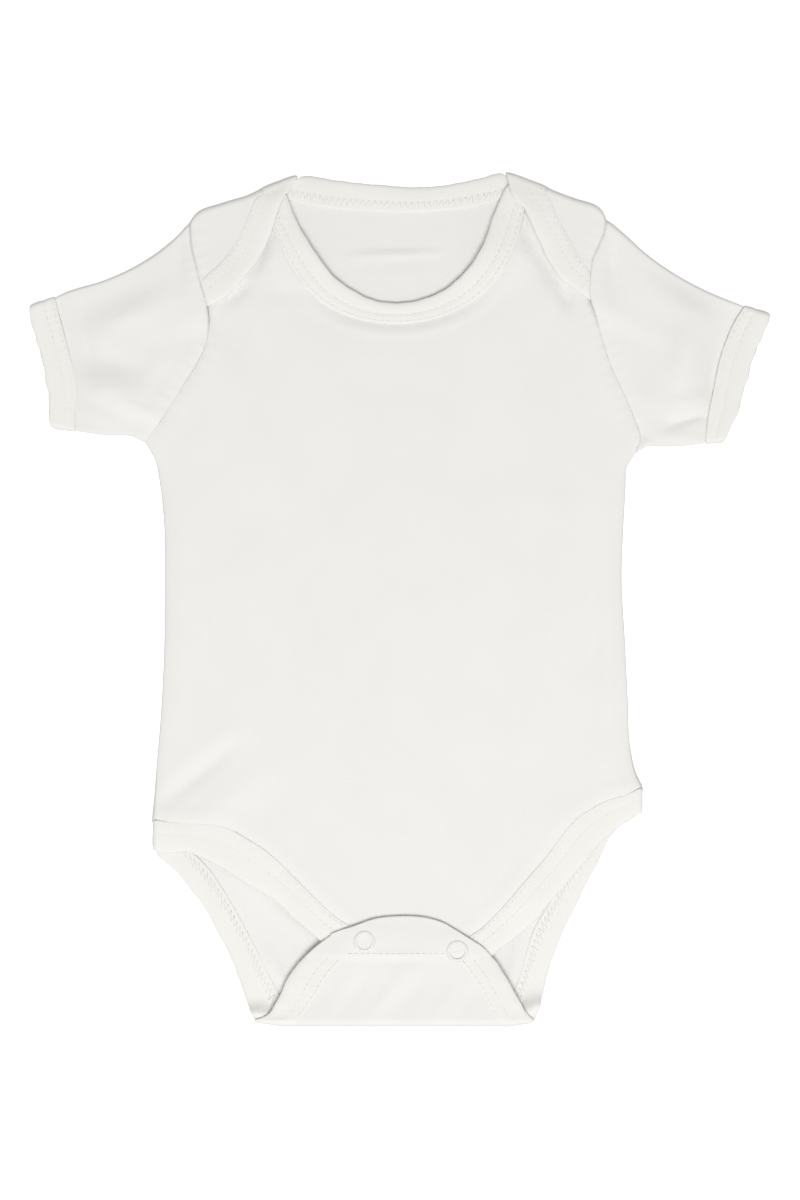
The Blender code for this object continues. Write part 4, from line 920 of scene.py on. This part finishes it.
def fold_stations(row, outward, low, high, plump=0.0, curl=0.0):
    """A binding's stations round a fold."""
    outward = np.resize(outward, (2, 2))
    rows = arc(row.reshape(2, 2), outward, low, np.broadcast_to(high, 2))
    ups = fold_ups(outward.mean(axis=0), len(rows))
    thick = 1.0 + plump * np.sin(np.linspace(0.0, math.pi, len(rows)))
    return [(*pair, up, size, curl) for pair, up, size in zip(rows, ups, thick)]


def over_front(points):
    """Height of a binding on the front, which stands higher beside the laps."""
    y = points[..., 1]
    push = LAPS_PUSH * hump(y - LAPS_Y, LAPS_SPAN) - BAND_DROP * hump(y - THROAT_Y, THROAT_SPAN)
    return FRONT_Z + push * (y > 0) + BAND_FOLDS * np.clip(folds(points, FRONT_FOLDS), 0.0, 1.0)


def over_shoulder(band, outward):
    """A lap's stations, from the back round the shoulder's fold to its end on the armhole."""
    high = lap_z(band[0].reshape(2, 2))
    fold = fold_stations(band[0], outward, BACK_BINDING_Z, high, SHOULDER_PLUMP)
    return fold + flat_stations(band, lap_z, -1)


neck_front, neck_front_stations = binding(
    "neck_rib_front", flat_stations(NECK_F, over_front, -1), "neck_binding_front", GROOVED
)
neck_back, neck_back_stations = binding(
    "neck_rib_back",
    [
        *over_shoulder(LAP_L, SHOULDER_OUT_L)[::-1],
        *flat_stations(NECK_B, BACK_BINDING_Z, 1),
        *over_shoulder(LAP_R, SHOULDER_OUT_R),
    ],
    "neck_binding_back",
    FLATTER,
)

# ----------------------------------------
# Leg bindings
# One folded strip of rib round each leg opening: along the front, round the hip, down the back,
# round the crotch and up the side of the flap.

CURL = 4.4  # how far a leg's free edge rolls up where it turns into the crotch
CURL_AT, CURL_REACH = 0.945, 0.05  # shares of the back's leg edge
CURL_END = -3.0  # the curl falls past nothing along the flap's side, so it is gone after a quarter
COVERED_THICK = 0.30  # how thin a binding's end is pressed under the hem

legs = {}
for side, front_band, back_band, flap_band, outward, down, covered in (
    ("left", LEG_FRONT_L, LEG_BACK_L, FLAP_SIDE_L, LEFTWARD, CROTCH_OUT_L, HEM_LEFT),
    ("right", LEG_FRONT_R, LEG_BACK_R, FLAP_SIDE_R, RIGHTWARD, CROTCH_OUT_R, HEM_RIGHT),
):
    curl = CURL * hump(np.linspace(0.0, 1.0, LEG_STEPS + 1) - CURL_AT, CURL_REACH)
    flap_curl = curl[-1] * np.linspace(1.0, CURL_END, FLAP_STEPS + 1).clip(0)
    thick = np.interp(np.linspace(0.0, 1.0, FLAP_STEPS + 1), (covered, 1.0), (1.0, COVERED_THICK))
    flap_start = flap_z(flap_band[0].reshape(2, 2))
    legs[side] = binding(
        f"leg_rib_{side}",
        [
            *flat_stations(front_band, over_front, -1)[::-1],
            *fold_stations(back_band[0], outward, BACK_BINDING_Z, FRONT_Z)[::-1],
            *flat_stations(back_band, BACK_BINDING_Z, 1, curl=curl),
            *fold_stations(back_band[-1], down, BACK_BINDING_Z, flap_start, curl=curl[-1]),
            *flat_stations(flap_band, flap_z, -1, thick, flap_curl),
        ],
        f"leg_binding_{side}",
        FLATTER,
    )

# ----------------------------------------
# Stitches
# White cotton thread. Two rows of stitches on the outside of each binding are locked by one zigzag
# on its inside, and a single row holds the flap's hem.

THREAD, THREAD_SIDES = 0.17, 4  # half its thickness
HOLE = 0.5  # the part of a stitch that is inside the needle hole
THREAD_RINGS = [  # share of a stitch, share of the thread's thickness, height over the cloth
    (0.0, 0.0, -0.12), (0.12, 0.9, 0.03), (0.5, 1.0, 0.12), (0.88, 0.9, 0.03), (1.0, 0.0, -0.12),
]
HEM_STITCHES = (-23.0, 20.0)  # x of the row's start and end
HEM_STITCH_Y = HEM_LINE + 1.6  # just inside the hem's lower edge
THREAD_COTTON = cotton("sewing_thread", (0.89, 0.88, 0.85), (0.86, 0.85, 0.82), 0.4, 0.3, 0.04)


def stitch(bm, start, end, out):
    """One length of thread, which bulges outwards between two needle holes."""
    across_it = unit(np.cross(end - start, out))
    round_it = np.linspace(0.0, 2 * math.pi, THREAD_SIDES + 1)[:, None]
    ring = np.sin(round_it) * across_it + np.cos(round_it) * out
    rows = [start + (end - start) * s + out * h + ring * THREAD * size for s, size, h in THREAD_RINGS]
    along = np.array([share for share, *_ in THREAD_RINGS]) * np.linalg.norm(end - start)
    lay(bm, rows, uv_places(round_it.T * THREAD, along[:, None]))


def sew(name, stations, section, wave=EDGE_WAVE):
    """The stitches of one binding, two rows outside and the zigzag inside."""
    rings = folded_strip(stations, section, wave)
    inward = np.array([up for _, _, up, *_ in stations])
    count = round(lengths(rings[:, NEEDLES[1]], 3)[-1] / STITCH)
    starts = np.arange(count) / count
    ends = starts + (1.0 - HOLE / STITCH) / count
    bm = bmesh.new()
    for needle in NEEDLES:
        path = rings[:, 2 * len(section) - 2 - needle]
        lines = (resample(path, starts, 3), resample(path, ends, 3), resample(inward, starts, 3))
        for start, end, up in zip(*lines):
            stitch(bm, start, end, -unit(up))
    halves = np.arange(2 * count + 1) / (2 * count)
    low, high = (resample(rings[:, needle], halves, 3) for needle in NEEDLES)
    ups = inward[np.linspace(0, len(inward) - 1, 2 * count).astype(int)]
    for step, up in enumerate(ups):
        start, end = (low, high) if step % 2 else (high, low)
        stitch(bm, start[step], end[step + 1], up)
    return finish_piece(name, bm, THREAD_COTTON)


neck_front_thread = sew("neck_stitches_front", neck_front_stations, GROOVED)
neck_back_thread = sew("neck_stitches_back", neck_back_stations, FLATTER)
cuff_threads = {side: sew(f"cuff_stitches_{side}", cuffs[side][1], GROOVED, CUFF_WAVE) for side in cuffs}
leg_threads = [sew(f"leg_stitches_{side}", legs[side][1], FLATTER) for side in legs]

bm = bmesh.new()
for x in np.arange(*HEM_STITCHES, STITCH):
    holes = np.array([(x, HEM_STITCH_Y), (x + STITCH - HOLE, HEM_STITCH_Y)])
    start, end = raised(holes, hemmed_z(holes) + WALL / 2)
    stitch(bm, start, end, np.array([0.0, 0.0, 1.0]))
hem_thread = finish_piece("hem_stitches", bm, THREAD_COTTON)

# ----------------------------------------
# Snaps
# Two enamelled ring caps pressed through the flap's hem, each with its stud between the flap and
# the front. The caps are rings, so the cloth shows through their middles.

CAP_SECTION = [  # radius, height
    (3.2, -0.30), (3.2, 0.22), (3.26, 0.30), (3.4, 0.35), (3.85, 0.37), (4.3, 0.35), (4.6, 0.30),
    (4.76, 0.20), (4.8, 0.08), (4.8, -0.30),
]
SPECKLE_SCALE, SPECKLE_SHADE, GLOSS_SPREAD = 700.0, 0.93, 0.08


def enamel(name, colour, roughness, metallic):
    """Enamel or bare metal whose colour and gloss are slightly uneven."""
    made, tree = new_material(name)
    noise = grain(tree, SPECKLE_SCALE, 2.0)
    gloss = {"Value": noise, "To Min": roughness - GLOSS_SPREAD, "To Max": roughness + GLOSS_SPREAD}
    fill(tree, tree.nodes["Principled BSDF"], {
        "Base Color": uneven(tree, noise, [value * SPECKLE_SHADE for value in colour], colour),
        "Roughness": add(tree, "ShaderNodeMapRange", gloss),
        "Metallic": metallic, "Coat Weight": 0.15,
    })
    return made


ENAMEL = enamel("snap_enamel", (0.78, 0.77, 0.745), 0.5, 0.0)
STEEL = enamel("snap_steel", (0.62, 0.61, 0.59), 0.30, 0.9)
for side, centre in SNAP_CENTRES.items():
    middle = np.array([*centre, SNAP_Z + WALL / 2]) - ORIGIN
    bm = bmesh.new()
    points = [bm.verts.new((radius, 0.0, height)) for radius, height in CAP_SECTION]
    for start, end in zip(points, points[1:] + points[:1]):
        bm.edges.new((start, end))
    bmesh.ops.spin(
        bm, geom=bm.verts[:] + bm.edges[:], axis=(0, 0, 1), cent=(0, 0, 0), angle=2 * math.pi, steps=72
    )
    bmesh.ops.scale(bm, vec=(MM, MM, MM), verts=bm.verts)
    bmesh.ops.translate(bm, vec=middle * MM, verts=bm.verts)
    finish_piece(f"snap_ring_{side}", bm, ENAMEL, nodes=[f"snap_cap_{side}"])
    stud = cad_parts[f"snap_stud_{side}"]
    stud.data.materials.clear()
    stud.data.materials.append(STEEL)

# ----------------------------------------
# Floor, light and camera
# A plain white table, a wide soft light from the foot of the garment and a little to its right, an
# even sky round it, and a long lens straight above.

GLOW = 0.75  # makes the table white to the eye, with no light from it on the garment
ROWS, ROW = 1200, 0.44  # the frame's rows, and the real height of one on the table
LENS, SENSOR = 100.0, 36.0

bm = bmesh.new()
bmesh.ops.create_grid(bm, x_segments=1, y_segments=1, size=3.0)
mesh = bpy.data.meshes.new("table_top")
bm.to_mesh(mesh)
bm.free()
paper, tree = new_material("white_paper")
seen = tree.nodes.new("ShaderNodeLightPath").outputs["Is Camera Ray"]
fill(tree, tree.nodes["Principled BSDF"], {
    "Base Color": (0.6, 0.6, 0.6, 1.0), "Roughness": 0.9, "Emission Color": (1.0, 1.0, 1.0, 1.0),
    "Emission Strength": add(tree, "ShaderNodeMath", {0: seen, 1: GLOW}, operation="MULTIPLY"),
})
mesh.materials.append(paper)
put("table_top", mesh)

world = bpy.data.worlds.new("studio")
world.use_nodes = True
sky = {"Color": (1.0, 0.995, 0.985, 1.0), "Strength": 0.44}
fill(world.node_tree, world.node_tree.nodes["Background"], sky)
bpy.context.scene.world = world


def softbox(name, place, width, depth, power):
    """A wide soft light that points at the garment."""
    light = bpy.data.lights.new(name, "AREA")
    light.shape, light.size, light.size_y, light.energy = "RECTANGLE", width, depth, power
    lamp = put(name, light)
    lamp.location = place
    lamp.rotation_mode = "QUATERNION"
    lamp.rotation_quaternion = (-lamp.location).to_track_quat("-Z", "Y")


softbox("key", (0.1, -0.95, 2.35), 1.5, 1.2, 44.3)

camera_data = bpy.data.cameras.new("camera")
camera_data.lens, camera_data.sensor_width = LENS, SENSOR
camera_data.clip_start, camera_data.clip_end = 0.1, 20.0
camera = put("camera", camera_data)
camera.location = (-ORIGIN[0] * MM, -ORIGIN[1] * MM, ROWS * ROW * MM * LENS / SENSOR)
bpy.context.scene.camera = camera
bpy.context.scene.view_settings.view_transform = "Standard"
